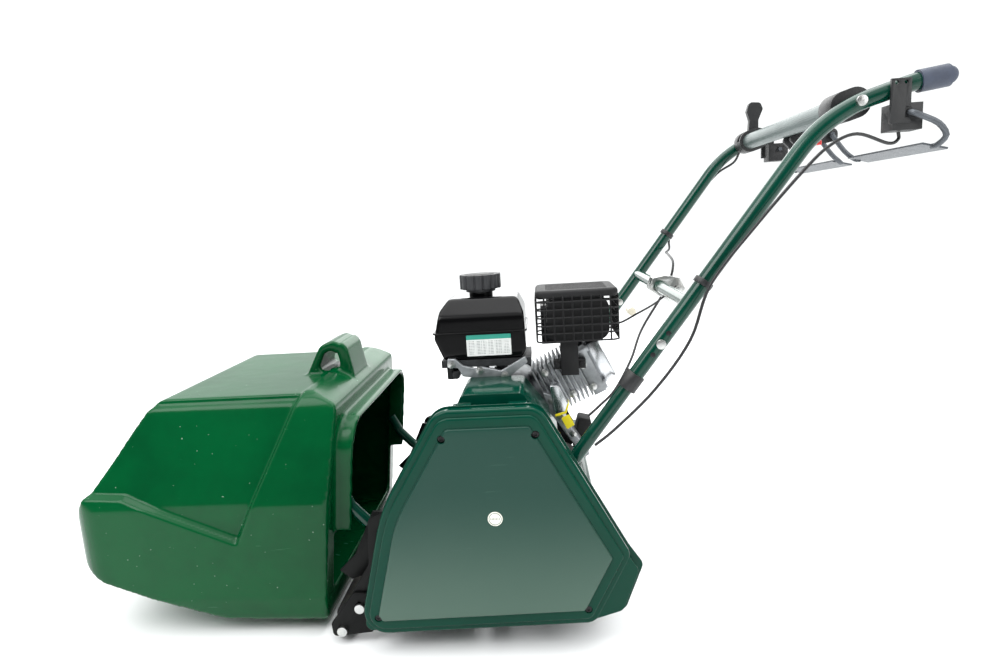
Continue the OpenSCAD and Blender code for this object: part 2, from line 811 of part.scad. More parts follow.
module tank_bracket() {
    color(cast) {
        difference() {
            translate([-76, tank_y[0] + 2, tank_z - 14]) cube([176, 112, 14]);
            translate([-50, tank_y[0] + 16, tank_z - 15]) cube([124, 84, 16]);
        }
        for (x = [-60, 0, 40]) for (y = [-98, -20])
            translate([x, y, case_top - 8]) difference() {
                cylinder(r = 9, h = tank_z - 13 - case_top + 8);
                translate([0, 0, -1]) cylinder(r = 12, h = 9);
            }
        for (x = [-48, 32]) shaft([x, case_top + 12], 8, tank_y[0] - 2, -88);
    }
}

muffler_x = [134, 254];
muffler_z = [bed_z + 214, bed_z + 298];
guard_x = [112, 274];
guard_z = [bed_z + 213, bed_z + 314];
guard_y = [-126, 22];
wire = 3;

module muffler() {
    color(black) translate([muffler_x[0], 0, 0])
        across(-116, 10)
            polygon(rounded([[0, muffler_z[0]], [120, muffler_z[0]], [120, muffler_z[1]], [0, muffler_z[1]]],
                [22, 22, 22, 22]));
}

// A cage of square bars, open below, round the silencer.
module muffler_guard() {
    lx = guard_x[1] - guard_x[0];
    ly = guard_y[1] - guard_y[0];
    lz = guard_z[1] - guard_z[0];
    color(black) translate([guard_x[0], guard_y[0], guard_z[0]]) {
        for (k = [0 : 5]) {
            z = (lz - wire) * k / 5;
            difference() {
                translate([0, 0, z]) cube([lx, ly, wire]);
                translate([wire, wire, z - 1]) cube([lx - 2 * wire, ly - 2 * wire, wire + 2]);
            }
        }
        for (k = [0 : 7]) {
            x = (lx - wire) * k / 7;
            for (y = [0, ly - wire]) translate([x, y, 0]) cube([wire, wire, lz]);
            translate([x, 0, lz - wire]) cube([wire, ly, wire]);
        }
        for (k = [1 : 5]) {
            y = (ly - wire) * k / 6;
            for (x = [0, lx - wire]) translate([x, y, 0]) cube([wire, wire, lz]);
            translate([0, y, lz - wire]) cube([lx, wire, wire]);
        }
    }
}

module exhaust_duct() {
    color(black) {
        translate([158, -116, bed_z + 146]) cube([34, 20, muffler_z[0] - bed_z - 146]);
        translate([144, -112, bed_z + 158]) cube([62, 16, 18]);
    }
    color(steel) for (x = [150.5, 199.5]) shaft([x, bed_z + 167], 5, -117, -111);
}

module air_cleaner() {
    color(black) {
        translate([122, 64, bed_z + 176]) cube([96, 68, 86]);
        translate([142, 26, bed_z + 196]) cube([40, 39, 40]);
    }
}

// ---- Handle ----

cap_at = [264, 453];
grip_a = [handle_x - grip_l, handle_h];
handle_knee = [handle_x - 192, handle_h - 38];
handle_bend = 215;
handle_u = unit(handle_knee - cap_at);
handle_foot = cap_at - handle_u * (cap_at[1] - bed_z - 30) / handle_u[1];
foot_bolts = [[122, bed_z + 18], [152, bed_z + 23]];
upper_path = [cap_at, handle_knee, grip_a, [handle_x - grip_r, handle_h + 6]];
lower_path = [[106, bed_z + 15.3], handle_foot, cap_at + handle_u * 150];
adjust_at = 91;
adjust_step = 22;
cross_at = 172;
console_at = [628, handle_h - 24.5];
cross_c = cap_at + handle_u * cross_at;

// A straight rod in line with a handle tube, between two distances along it.
module along_handle(y, from, to, r) {
    a = cap_at + handle_u * from;
    b = cap_at + handle_u * to;
    rod([a[0], y, a[1]], [b[0], y, b[1]], r);
}

module handle_holes(span) {
    for (k = [-1 : 1]) {
        c = cap_at + handle_u * (adjust_at + k * adjust_step);
        for (s = [0, 1]) mirror([0, s, 0]) shaft(c, stud_r + fit_gap, handle_y - span, handle_y + span);
    }
}

module lower_handle() {
    color(green_dark) difference() {
        for (y = [-handle_y, handle_y]) difference() {
            bent_bar(lower_path, y, lower_r, 40);
            along_handle(y, -130, 151, lower_r - 2);
        }
        handle_holes(20);
        for (c = foot_bolts) shaft(c, stud_r + fit_gap, -frame_out, frame_out);
    }
}

module upper_handle() {
    color(green_dark) difference() {
        union() {
            for (y = [-handle_y, handle_y]) bent_bar(upper_path, y, upper_r, handle_bend);
            shaft(cross_c, upper_r - 2, -handle_y, handle_y);
        }
        for (y = [-handle_y, handle_y]) along_handle(y, -1, 440, upper_r - tube_wall);
        handle_holes(20);
        shaft(console_at, stud_r + fit_gap, -frame_in, frame_in);
    }
}

// Black collars cover the lower ends of the upper tubes.
module tube_collars() {
    color(black) for (y = [-handle_y, handle_y]) difference() {
        along_handle(y, -4, 26, upper_r + 3);
        along_handle(y, 0, 30, upper_r);
        along_handle(y, -10, 30, lower_r + 0.1);
    }
}

module cross_bolt(c, inner, outer) {
    for (s = [0, 1]) mirror([0, s, 0]) {
        shaft(c, stud_r, inner - 4, outer + 3);
        shaft(c, 8, outer, outer + 6);
        shaft(c, 8, inner - 5, inner);
    }
}

module handle_bolts() {
    color(steel) {
        cross_bolt(cap_at + handle_u * adjust_at, handle_y - upper_r, handle_y + upper_r);
        for (c = foot_bolts) cross_bolt(c, handle_y - lower_r, frame_out);
        cross_bolt(console_at, handle_y - upper_r, handle_y + upper_r);
    }
}

module grips() {
    color(black) for (y = [-handle_y, handle_y]) difference() {
        union() {
            rod([grip_a[0] + 4, y, handle_h], [handle_x - grip_r + 3, y, handle_h + 6], grip_r);
            translate([handle_x - grip_r + 3, y, handle_h + 6]) sphere(r = grip_r - 3);
        }
        bent_bar(upper_path, y, upper_r, handle_bend);
    }
}

console_w = 50;
console_h = 34;
console_tilt = 17;
bar_half = 214;
boss_y = [14, 22];
bail_c = [700, handle_h - 46];
pin_r = 4;

module at_console() {
    translate([console_at[0], 0, console_at[1]]) rotate([0, -console_tilt, 0]) children();
}

function pill(w, h) = rounded([[-w / 2, -h / 2], [w / 2, -h / 2], [w / 2, h / 2], [-w / 2, h / 2]],
    [h / 2.02, h / 2.02, h / 2.02, h / 2.02], 8);

module console_bar() {
    color(steel) at_console() difference() {
        across(-bar_half, bar_half) polygon(pill(console_w, console_h));
        across(-bar_half - 1, bar_half + 1) polygon(pill(console_w - 5, console_h - 5));
    }
}

// End caps join the bar to the handle tubes, and the far one carries the throttle lever.
lever_y = [222, 234];
module console_caps() {
    color(black) difference() {
        for (s = [0, 1]) mirror([0, s, 0]) at_console()
            across(bar_half, handle_y - upper_r - 5.2) polygon(pill(console_w + 14, console_h + 14));
        translate([console_at[0] - 40, lever_y[0] - move_gap, console_at[1] - 2])
            cube([80, lever_y[1] - lever_y[0] + 2 * move_gap, 60]);
        shaft([console_at[0], console_at[1] + 4], 22, lever_y[0] - move_gap, lever_y[1] + move_gap);
        shaft([console_at[0], console_at[1] + 4], pin_r, lever_y[0] - 8, lever_y[1] + 8);
    }
}

lever_c = [console_at[0], console_at[1] + 4];
lever_outline = [[-10, 14], [12, 14], [12, 40], [22, 64], [16, 78], [-8, 80], [-14, 60], [-8, 40]];

module throttle_lever() {
    color(black) {
        translate([lever_c[0], 0, lever_c[1]]) across(lever_y[0], lever_y[1]) {
            polygon(rounded(lever_outline, [2, 2, 12, 6, 8, 8, 6, 12]));
            circle(r = 20);
        }
        shaft(lever_c, pin_r - run_gap, lever_y[0] - 7, lever_y[1] + 7);
    }
}

// Each bail is a rod with a broad plate, hung between a switch box and the middle bracket.
bail_drop = [[38, -20], [52, -38], [46, -52]];
plate_w = 40;

module bail() {
    p = [for (d = bail_drop) bail_c + d];
    yo = frame_in + 10;
    swept(spline([[bail_c[0], frame_in + 2.5, bail_c[1]], [bail_c[0] + 3, frame_in + 7, bail_c[1] - 2],
        [bail_c[0] + 12, yo, bail_c[1] - 7], [p[0][0], yo, p[0][1]], [p[1][0], yo - 3, p[1][1]],
        [p[2][0] + 2, frame_in - 6, p[2][1] + 2], [p[2][0], frame_in - 18, p[2][1]]], 3), 4.5, [0, 0, 1], 12);
    shaft(bail_c, pin_r, frame_in - 44, frame_in + 2);
    translate([p[2][0], 0, p[2][1]]) rotate([0, 14, 0])
        translate([-plate_w / 2, boss_y[1] + 12, -1.5]) cube([plate_w, frame_in - 22 - boss_y[1], 3]);
    swept(spline([[p[2][0], boss_y[1] + 18, p[2][1]], [p[2][0] - 6, boss_y[1] + 10, p[2][1] + 2],
        [p[2][0] - 24, boss_y[1] + 7, p[2][1] + 18], [bail_c[0] - 2, boss_y[1] + 7, bail_c[1] - 2]], 3), 4.5, [0, 0, 1], 12);
    shaft(bail_c, pin_r, boss_y[0] - 2, boss_y[1] + 7);
}

module left_bail() {
    color(steel) mirror([0, 1, 0]) bail();
}

module right_bail() {
    color(steel) bail();
}

// Switch boxes under the tubes, and the two arms in the middle, hold the bails' pins.
box_in = frame_in - 36;

module switch_boxes() {
    color(black) for (s = [0, 1]) mirror([0, s, 0]) {
        difference() {
            union() {
                translate([676, box_in, handle_h - 72]) cube([44, frame_in - box_in, 40]);
                translate([670, frame_in + 0, handle_h - 62]) cube([30, 4, 66]);
                translate([670, frame_in - 2, handle_h - 62]) cube([30, 4, 28]);
            }
            shaft(bail_c, pin_r + run_gap, box_in - 1, frame_in + 6);
            for (x = [678, 692]) shaft([x, handle_h - 2], 3, frame_in - 3, frame_in + 6);
            translate([bail_c[0] - 8, frame_in + 0.3, bail_c[1] - 8]) cube([40, 8, 16]);
        }
        difference() {
            across(boss_y[0], boss_y[1])
                polygon(rounded([[622, console_at[1] - 26], [640, console_at[1] - 46], [712, bail_c[1] - 12],
                    [712, bail_c[1] + 12], [650, console_at[1] - 14], [628, console_at[1] - 14]],
                    [6, 14, 10, 10, 6, 4]));
            shaft(bail_c, pin_r + run_gap, boss_y[0] - 1, boss_y[1] + 1);
            at_console() across(boss_y[0] - 1, boss_y[1] + 1) polygon(pill(console_w, console_h));
        }
    }
}

stop_c = [640, -96];
stop_z = console_at[1] - 24;

module stop_button() {
    color([0.75, 0.06, 0.05]) translate([stop_c[0], stop_c[1], stop_z - 22]) {
        cylinder(r = 11, h = 8);
        translate([0, 0, 7]) cylinder(r = 6, h = 9);
    }
}

module cable_bracket() {
    color(steel) {
        difference() {
            across(-20, 20) polygon(rounded([for (d = [[-22, -4], [20, -34], [52, -8], [40, 16], [10, 22], [-14, 18]])
                cross_c + d], [6, 6, 6, 6, 6, 6]));
            across(-17, 17) polygon([for (d = [[-30, -60], [70, -60], [70, 11], [30, 13], [10, 17.5], [-30, 17.5]])
                cross_c + d]);
            shaft(cross_c, upper_r - 2, -21, 21);
        }
        shaft(cross_c + [36, -6], 5, -24, 24);
        for (y = [-13, 1]) shaft(cross_c + [36, -6], 11, y, y + 12);
    }
}

// Control cables, held at both ends and clipped along the handle.
cable_r = 2.6;
near_route = [[694, -276, handle_h - 73], [694, -276, handle_h - 84], [672, -290, 824], [620, -302, 840],
              [580, -304, 826], [540, -304, 790], [470, -304, 712], [398, -305, 622], [363, -312, 534],
              [305, -312, 454], [240, -310, 390], [204, -306, 360]];
far_route = [[606, 252, 866], [594, 258, 844], [564, 292, 822], [520, 306, 770], [456, 306, 684], [446, 284, 650], [430, 240, 644],
             [412, 120, 646], [408, 46, 630], [392, 34, 584], [334, 10, 500], [300, -60, 450], [262, -106, 402],
             [232, -112, 374], [206, -114, 352]];
engine_route = [[398, -34, 592], [356, -36, 560], [316, -24, 536], [290, 10, 516], [262, 50, 506], [222, 78, 506]];

module control_cables() {
    color(black) {
        swept(spline(near_route, 3), cable_r);
        swept(spline(far_route, 3), cable_r);
        swept(spline(engine_route, 3), 2);
    }
    color(black) for (k = [0, 1]) {
        c = cap_at + handle_u * (k == 0 ? 212 : 292);
        side = k == 0 ? -1 : 1;
        translate([c[0], side * handle_y, c[1]]) rotate([0, 90 - atan2(handle_u[1], handle_u[0]), 0])
            difference() {
                cylinder(r = upper_r + 3, h = 10);
                translate([0, 0, -1]) cylinder(r = upper_r + 0.1, h = 12);
            }
    }
}

// ---- Grass box ----

box_rear = -256;
box_z = 20;
box_top = box_z + box_h;
box_front = box_rear - box_l;
side_profile = [[box_front + 50, box_z + 100], [box_front + 275, box_z + 12], [box_rear - 46, box_z],
                [box_rear, box_top - 24], [box_rear - 46, box_top], [box_front + 172, box_top],
                [box_front + 24, box_top - 190], [box_front, box_top - 240], [box_front + 8, box_top - 300]];
side_round = [50, 60, 12, 16, 24, 30, 12, 30, 30];
front_profile = [[-box_half_w + 16, box_z - 1], [box_half_w - 16, box_z - 1], [box_half_w, box_z + 60],
                 [box_half_w, box_top - 196], [box_half_w - 54, box_top + 1], [-box_half_w + 54, box_top + 1],
                 [-box_half_w, box_top - 196], [-box_half_w, box_z + 60]];
front_round = [24, 24, 40, 14, 40, 40, 14, 40];
grip_profile = [[box_rear - 120, box_top - 6], [box_rear - 14, box_top - 18], [box_rear - 26, box_top + 50],
                [box_rear - 52, box_top + 72], [box_rear - 84, box_top + 60]];
grip_hole = [[box_rear - 92, box_top + 7], [box_rear - 42, box_top + 5], [box_rear - 48, box_top + 40],
             [box_rear - 60, box_top + 50], [box_rear - 76, box_top + 44]];

plan_profile = [[box_front, -box_half_w], [box_rear, -box_half_w], [box_rear, box_half_w], [box_front, box_half_w]];
plan_round = [62, 34, 34, 62];
mouth_half_w = 244;
mouth_reach = 34;
mouth_z = [box_z + 50, box_top - 54];
lip_z = mouth_z[0] + 112;

module box_solid(d) {
    intersection() {
        across(-box_half_w - 5, box_half_w + 5)
            polygon(rounded(inset(side_profile, d), [for (r = side_round) max(r - d, 4)]));
        translate([box_front - 5, 0, 0]) rotate([90, 0, 90]) linear_extrude(box_l + 80)
            polygon(rounded(inset(front_profile, d), [for (r = front_round) max(r - d, 4)]));
        translate([0, 0, box_z - 20]) linear_extrude(box_h + 40)
            polygon(rounded(inset(plan_profile, d), [for (r = plan_round) max(r - d, 4)]));
    }
}

// X of the box's sloping rear face at a height.
function rear_x_at(z) = box_rear - 46 * (box_top - 24 - z) / (box_h - 24);

// The tube round the mouth, d inside its outer face.
module mouth_solid(d, back, low) {
    across(-mouth_half_w + d, mouth_half_w - d)
        polygon(rounded([[rear_x_at(low) - back, low], [rear_x_at(low) + mouth_reach + d, low],
            [rear_x_at(mouth_z[1]) + mouth_reach + d, mouth_z[1] - d], [rear_x_at(mouth_z[1]) - back, mouth_z[1] - d]],
            [2, 4, 4, 2]));
}

module grass_box() {
    color(green_box) difference() {
        union() {
            box_solid(0);
            mouth_solid(0, 10, lip_z);
            across(-58, 58) polygon(rounded(grip_profile, [10, 8, 22, 20, 26]));
        }
        box_solid(box_wall);
        mouth_solid(box_wall, 40, mouth_z[0]);
        across(-59, 59) polygon(rounded(grip_hole, [8, 8, 10, 8, 8]));
    }
}

left_side_frame();
right_side_frame();
tie_tubes();
front_tube();
hanger_tubes();
hanger_hooks();
engine_bed();
clutch_cowl();
grass_deflector();
chain_case_back();
chain_cover();
cover_screws();
right_cover();
bearing_housings();
drive_chains();
drive_belt();
cutter_shaft();
cutter_spiders();
cutter_blades();
bottom_blade();
sole_bar();
jackshaft();
rear_axle();
left_rear_roller();
right_rear_roller();
front_roller();
front_axle();
front_roller_brackets();
bracket_bolts();
crankcase();
cylinder_barrel();
cylinder_head();
valve_cover();
spark_plug();
crankshaft();
clutch_drum();
recoil_housing();
starter_grip();
fuel_tank();
fuel_cap();
tank_bracket();
muffler();
muffler_guard();
exhaust_duct();
air_cleaner();
lower_handle();
upper_handle();
tube_collars();
handle_bolts();
grips();
console_bar();
console_caps();
throttle_lever();
left_bail();
right_bail();
switch_boxes();
stop_button();
cable_bracket();
control_cables();
grass_box();
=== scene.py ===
import json
import math
import bpy
from mathutils import Matrix, Vector


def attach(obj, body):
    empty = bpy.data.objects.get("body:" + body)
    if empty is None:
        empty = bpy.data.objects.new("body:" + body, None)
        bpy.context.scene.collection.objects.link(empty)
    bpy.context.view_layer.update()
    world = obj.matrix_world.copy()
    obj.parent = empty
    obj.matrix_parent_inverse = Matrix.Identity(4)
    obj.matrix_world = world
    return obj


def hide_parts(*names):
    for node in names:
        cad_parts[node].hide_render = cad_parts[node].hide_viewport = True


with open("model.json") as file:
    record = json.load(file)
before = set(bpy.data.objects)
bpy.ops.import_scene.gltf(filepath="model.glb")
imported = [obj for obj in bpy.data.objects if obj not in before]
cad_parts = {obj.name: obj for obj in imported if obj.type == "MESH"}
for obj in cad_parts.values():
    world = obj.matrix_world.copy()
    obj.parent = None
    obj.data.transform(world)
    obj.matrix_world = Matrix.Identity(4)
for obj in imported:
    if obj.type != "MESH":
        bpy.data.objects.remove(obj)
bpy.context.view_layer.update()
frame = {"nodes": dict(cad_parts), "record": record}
print("frame loaded")


# the camera stands low on the chain-case side and leans a little
camera = {"place": (0.127, -1.378, 0.742), "right": (0.99658, 0.05663, -0.06022),
          "up": (0.04972, 0.17138, 0.98395), "look": (-0.06604, 0.98358, -0.16798), "lens": 23.76}


def addCamera():
    bpy.ops.object.camera_add()
    cam = bpy.context.object
    right, up, back = Vector(camera["right"]), Vector(camera["up"]), -Vector(camera["look"])
    turn = Matrix((right, up, back)).transposed().to_4x4()
    cam.matrix_world = Matrix.Translation(camera["place"]) @ turn
    cam.data.lens = camera["lens"]
    cam.data.sensor_width = 36
    cam.data.clip_start = 0.02
    bpy.context.scene.camera = cam


# small helpers

def deselect():
    if bpy.context.object and bpy.context.object.mode != "OBJECT":
        bpy.ops.object.mode_set(mode="OBJECT")
    bpy.ops.object.select_all(action="DESELECT")


def only(piece):
    deselect()
    piece.select_set(True)
    bpy.context.view_layer.objects.active = piece


def named(piece, name):
    piece.name = name
    piece.data.name = name
    return piece


def settle(piece):  # leaves the object at the origin, with its place in its mesh
    only(piece)
    bpy.ops.object.transform_apply(location=True, rotation=True, scale=True)
    return piece


def modify(piece, kind, **settings):
    only(piece)
    mod = piece.modifiers.new(kind.title(), kind)
    for key, value in settings.items():
        setattr(mod, key, value)
    bpy.ops.object.modifier_apply(modifier=mod.name)
    return piece


def outward(piece):
    only(piece)
    bpy.ops.object.mode_set(mode="EDIT")
    bpy.ops.mesh.select_all(action="SELECT")
    bpy.ops.mesh.remove_doubles(threshold=0.00001)
    bpy.ops.mesh.normals_make_consistent(inside=False)
    bpy.ops.object.mode_set(mode="OBJECT")
    return piece


def smooth(piece, angle=35):
    only(piece)
    bpy.ops.object.shade_smooth_by_angle(angle=math.radians(angle))
    return piece


def rod(name, centre, radius, length, axis="Z", sides=48):
    turn = {"X": (0, math.pi / 2, 0), "Y": (math.pi / 2, 0, 0), "Z": (0, 0, 0)}[axis]
    deselect()
    bpy.ops.mesh.primitive_cylinder_add(vertices=sides, radius=radius, depth=length, location=centre, rotation=turn)
    return settle(named(bpy.context.object, name))


def block(name, low, high):
    deselect()
    size = [b - a for a, b in zip(low, high)]
    middle = [(a + b) / 2 for a, b in zip(low, high)]
    bpy.ops.mesh.primitive_cube_add(size=1, location=middle, scale=size)
    return settle(named(bpy.context.object, name))


def plate(name, outline, axis, start, end):
    # a closed outline pulled along an axis: "Y" takes [x, z], "X" takes [y, z], "Z" takes [x, y]
    deselect()
    bpy.ops.mesh.primitive_circle_add(vertices=len(outline), radius=1, fill_type="NGON")
    piece = named(bpy.context.object, name)
    for vert, (u, v) in zip(piece.data.vertices, outline):
        vert.co = {"Y": (u, start, v), "X": (start, u, v), "Z": (u, v, start)}[axis]
    along = {"Y": (0, end - start, 0), "X": (end - start, 0, 0), "Z": (0, 0, end - start)}[axis]
    bpy.ops.object.mode_set(mode="EDIT")
    bpy.ops.mesh.select_all(action="SELECT")
    bpy.ops.mesh.extrude_region_move(TRANSFORM_OT_translate={"value": along})
    bpy.ops.object.mode_set(mode="OBJECT")
    return outward(piece)


def unit(v):
    return v.normalized()


def rounded(points, radii, n=8):
    out = []
    m = len(points)
    for i in range(m):
        a, p, b = (Vector(points[k % m]) for k in (i - 1, i, i + 1))
        u, v = unit(a - p), unit(b - p)
        half = math.acos(max(-1, min(1, u.dot(v)))) / 2
        r = radii[i] if hasattr(radii, "__len__") else radii
        reach = min(r / math.tan(half), (a - p).length * 0.48, (b - p).length * 0.48)
        r = reach * math.tan(half)
        centre = p + unit(u + v) * (r / math.sin(half))
        s, e = p + u * reach - centre, p + v * reach - centre
        a0, a1 = math.atan2(s.y, s.x), math.atan2(e.y, e.x)
        d = (a1 - a0 + math.pi) % (2 * math.pi) - math.pi
        for k in range(n + 1):
            t = a0 + d * k / n
            out.append((centre.x + r * math.cos(t), centre.y + r * math.sin(t)))
    return out


def inset(points, d):
    out = []
    m = len(points)
    for i in range(m):
        p = Vector(points[i])
        u, v = unit(p - Vector(points[i - 1])), unit(Vector(points[(i + 1) % m]) - p)
        n1, n2 = Vector((-u.y, u.x)), Vector((-v.y, v.x))
        out.append(tuple(p + (n1 + n2) * d / (1 + n1.dot(n2))))
    return out


def mm(points):
    return [tuple(c / 1000 for c in p) for p in points]


def tube(name, points, radius, sides=24, smoothPath=True, closed=False):
    # one smooth tube along points, made from a curve and turned into a mesh
    curve = bpy.data.curves.new(name, "CURVE")
    curve.dimensions = "3D"
    curve.bevel_depth = radius
    curve.bevel_resolution = max(1, sides // 4 - 1)
    curve.use_fill_caps = not closed
    curve.twist_mode = "Z_UP" if closed else "MINIMUM"
    spline = curve.splines.new("POLY")
    path = throughAll(points, closed) if smoothPath else points
    spline.points.add(len(path) - 1)
    for point, p in zip(spline.points, path):
        point.co = (*p, 1)
    spline.use_cyclic_u = closed
    piece = bpy.data.objects.new(name, curve)
    bpy.context.scene.collection.objects.link(piece)
    only(piece)
    bpy.ops.object.convert(target="MESH")
    piece = bpy.context.object
    named(piece, name)
    outward(piece)
    return smooth(piece, 50)


def throughAll(points, closed=False, steps=6):
    p = [Vector(q) for q in points]
    m = len(p)
    out = []
    last = m if closed else m - 1
    for i in range(last):
        a = p[(i - 1) % m] if closed or i else p[0] * 2 - p[1]
        b, c = p[i], p[(i + 1) % m]
        d = p[(i + 2) % m] if closed or i + 2 < m else c * 2 - b
        for k in range(steps):
            t = k / steps
            square, cube = (2 * a - 5 * b + 4 * c - d) * t * t, (3 * b - 3 * c + d - a) * t ** 3
            out.append(0.5 * (2 * b + (c - a) * t + square + cube))
    if not closed:
        out.append(p[-1])
    return out


def bentLine(points, radius, n=10):
    # straight runs joined by arcs of one radius
    p = [Vector(q) for q in points]
    out = [p[0]]
    for a, b, c in zip(p, p[1:], p[2:]):
        u, v = unit(a - b), unit(c - b)
        half = u.angle(v) / 2
        reach = min(radius / math.tan(half), (a - b).length * 0.9, (c - b).length * 0.9)
        s, e = b + u * reach, b + v * reach
        r = reach * math.tan(half)
        centre = b + unit(u + v) * (r / math.sin(half))
        for k in range(n + 1):
            out.append(centre + unit((s - centre).slerp(e - centre, k / n)) * r)
    out.append(p[-1])
    return out


def merged(name, pieces):
    deselect()
    for piece in pieces:
        piece.select_set(True)
    bpy.context.view_layer.objects.active = pieces[0]
    if len(pieces) > 1:
        bpy.ops.object.join()
    return named(bpy.context.object, name)


def cut(piece, tool, how="DIFFERENCE"):
    modify(piece, "BOOLEAN", object=tool, operation=how, solver="EXACT")
    bpy.data.objects.remove(tool)
    return piece


def softened(piece, width, segments=3, angle=30):
    modify(piece, "BEVEL", width=width, segments=segments, limit_method="ANGLE",
           angle_limit=math.radians(angle), harden_normals=False, miter_outer="MITER_ARC")
    return smooth(piece, 40)


def twin(node, width=0.0006, segments=2, angle=32):
    # a copy of a CAD node with its doubles merged and its sharp edges broken
    source = frame["nodes"][node]
    piece = source.copy()
    piece.data = source.data.copy()
    for key in list(piece.keys()):
        del piece[key]
    piece.parent = None
    bpy.context.scene.collection.objects.link(piece)
    named(piece, "fine." + node)
    only(piece)
    bpy.ops.mesh.customdata_custom_splitnormals_clear()
    bpy.ops.object.mode_set(mode="EDIT")
    bpy.ops.mesh.select_all(action="SELECT")
    bpy.ops.mesh.remove_doubles(threshold=0.000005)
    bpy.ops.mesh.dissolve_limited(angle_limit=math.radians(0.6), delimit={"NORMAL"})
    bpy.ops.object.mode_set(mode="OBJECT")
    modify(piece, "BEVEL", width=width, segments=segments, limit_method="ANGLE",
           angle_limit=math.radians(angle), harden_normals=False)
    return smooth(piece, 38)


def place(piece, finish, slot, body, *nodes):
    piece.data.materials.clear()
    piece.data.materials.append(finish)
    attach(piece, body)
    if nodes:
        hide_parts(*nodes)
    return piece


bodyOf = {n: b for b, ns in frame["record"]["behaviour"]["bodies"].items() for n in ns}
slotOf = {p["node"]: p["material_slot"] for p in frame["record"]["subparts"]}


# shader maths

class Wire:
    def __init__(self, tree, socket):
        self.tree, self.socket = tree, socket

    def to(self, kind, settings=None, out=0, **inputs):
        node = self.tree.nodes.new(kind)
        for key, value in (settings or {}).items():
            setattr(node, key, value)
        for key, value in inputs.items():
            socket = node.inputs[int(key[1:]) if key[1:].isdigit() else key.replace("_", " ")]
            if isinstance(value, Wire):
                self.tree.links.new(value.socket, socket)
            else:
                socket.default_value = value
        return Wire(self.tree, node.outputs[out])

    def maths(self, how, a, b=0.0):
        return self.to("ShaderNodeMath", {"operation": how}, i0=a, i1=b)

    def __add__(self, o): return self.maths("ADD", self, o)
    def __radd__(self, o): return self.maths("ADD", o, self)
    def __sub__(self, o): return self.maths("SUBTRACT", self, o)
    def __rsub__(self, o): return self.maths("SUBTRACT", o, self)
    def __mul__(self, o): return self.maths("MULTIPLY", self, o)
    def __rmul__(self, o): return self.maths("MULTIPLY", o, self)

    def step(self, low, high):
        return self.to("ShaderNodeMapRange", {"interpolation_type": "SMOOTHSTEP"}, Value=self, From_Min=low,
                       From_Max=high)

    def between(self, low, high, edge):
        return self.step(low - edge, low) * (1 - self.step(high, high + edge))

    def noise(self, scale, detail=3.0, rough=0.55, stretch=(1, 1, 1)):
        vector = self.to("ShaderNodeMapping", None, Vector=self, Scale=stretch)
        return self.to("ShaderNodeTexNoise", None, Vector=vector, Scale=scale, Detail=detail, Roughness=rough)

    def mix(self, factor, a, b):
        return self.to("ShaderNodeMix", {"data_type": "RGBA"}, 2, i0=factor, i6=a, i7=b)


def rgb(r, g, b):  # screen colour, 0 to 255, as a linear one
    line = [c / 255 for c in (r, g, b)]
    return (*[c / 12.92 if c <= 0.04045 else ((c + 0.055) / 1.055) ** 2.4 for c in line], 1)


def finishBase(name, metallic=0.0, coat=0.0, coatRough=0.05, specular=0.5):
    mat = bpy.data.materials.new(name)
    mat.use_nodes = True
    tree = mat.node_tree
    shader = tree.nodes["Principled BSDF"]
    shader.inputs["Metallic"].default_value = metallic
    shader.inputs["Coat Weight"].default_value = coat
    shader.inputs["Coat Roughness"].default_value = coatRough
    shader.inputs["Specular IOR Level"].default_value = specular
    coord = tree.nodes.new("ShaderNodeTexCoord")
    return mat, tree, shader, Wire(tree, coord.outputs["Object"])


def drive(tree, shader, **links):
    for key, wire in links.items():
        tree.links.new(wire.socket, shader.inputs[key.replace("_", " ")])


def surface(name, colour, second, rough=(0.3, 0.5), metallic=0.0, coat=0.0, mottle=14, blotch=0.6, grain=900,
            grainDepth=0.1, wave=0, waveDepth=0.0, marks=0.0, markColour=None, dust=0.0, stretch=(1, 1, 1),
            coatRough=0.05, specular=0.5):
    # the general finish: two mixed tones, fine marks, settled dust, a grain and a slow waviness
    mat, tree, shader, at = finishBase(name, metallic, coat, coatRough, specular)
    cloud = at.noise(mottle, 4, 0.6)
    fine = at.noise(grain, 2, 0.5, stretch)
    tone = at.mix(cloud.step(0.5 - blotch / 2, 0.5 + blotch / 2), colour, second)
    roughness = rough[0] + (rough[1] - rough[0]) * at.noise(mottle * 2.3, 5, 0.65)
    if marks:
        streak = at.noise(26, 2, 0.5, (0.5, 1, 9)).step(0.66, 0.72) * at.noise(9, 3).step(0.55, 0.62)
        tone = at.mix(streak * marks, tone, markColour or second)
        roughness = roughness + streak * (0.25 * marks)
    if dust:
        up = at.to("ShaderNodeNewGeometry", None, 1)
        level = at.to("ShaderNodeSeparateXYZ", None, 2, Vector=up).step(0.2, 1.0)
        settled = level * at.noise(40, 5, 0.7).step(0.35, 0.8) * dust
        tone = at.mix(settled, tone, rgb(150, 146, 132))
        roughness = roughness + settled * 0.4
    height = fine * grainDepth
    if wave:
        height = height + at.noise(wave, 1, 0.4) * waveDepth
    bump = at.to("ShaderNodeBump", None, Height=height, Distance=0.001, Strength=0.6)
    drive(tree, shader, Base_Color=tone, Roughness=roughness, Normal=bump)
    return mat


paints = {"frameGreen": rgb(0, 60, 46), "frameGreenDeep": rgb(0, 50, 38), "boxGreen": rgb(0, 92, 52),
          "boxGreenDeep": rgb(0, 76, 44), "black": rgb(24, 25, 27)}

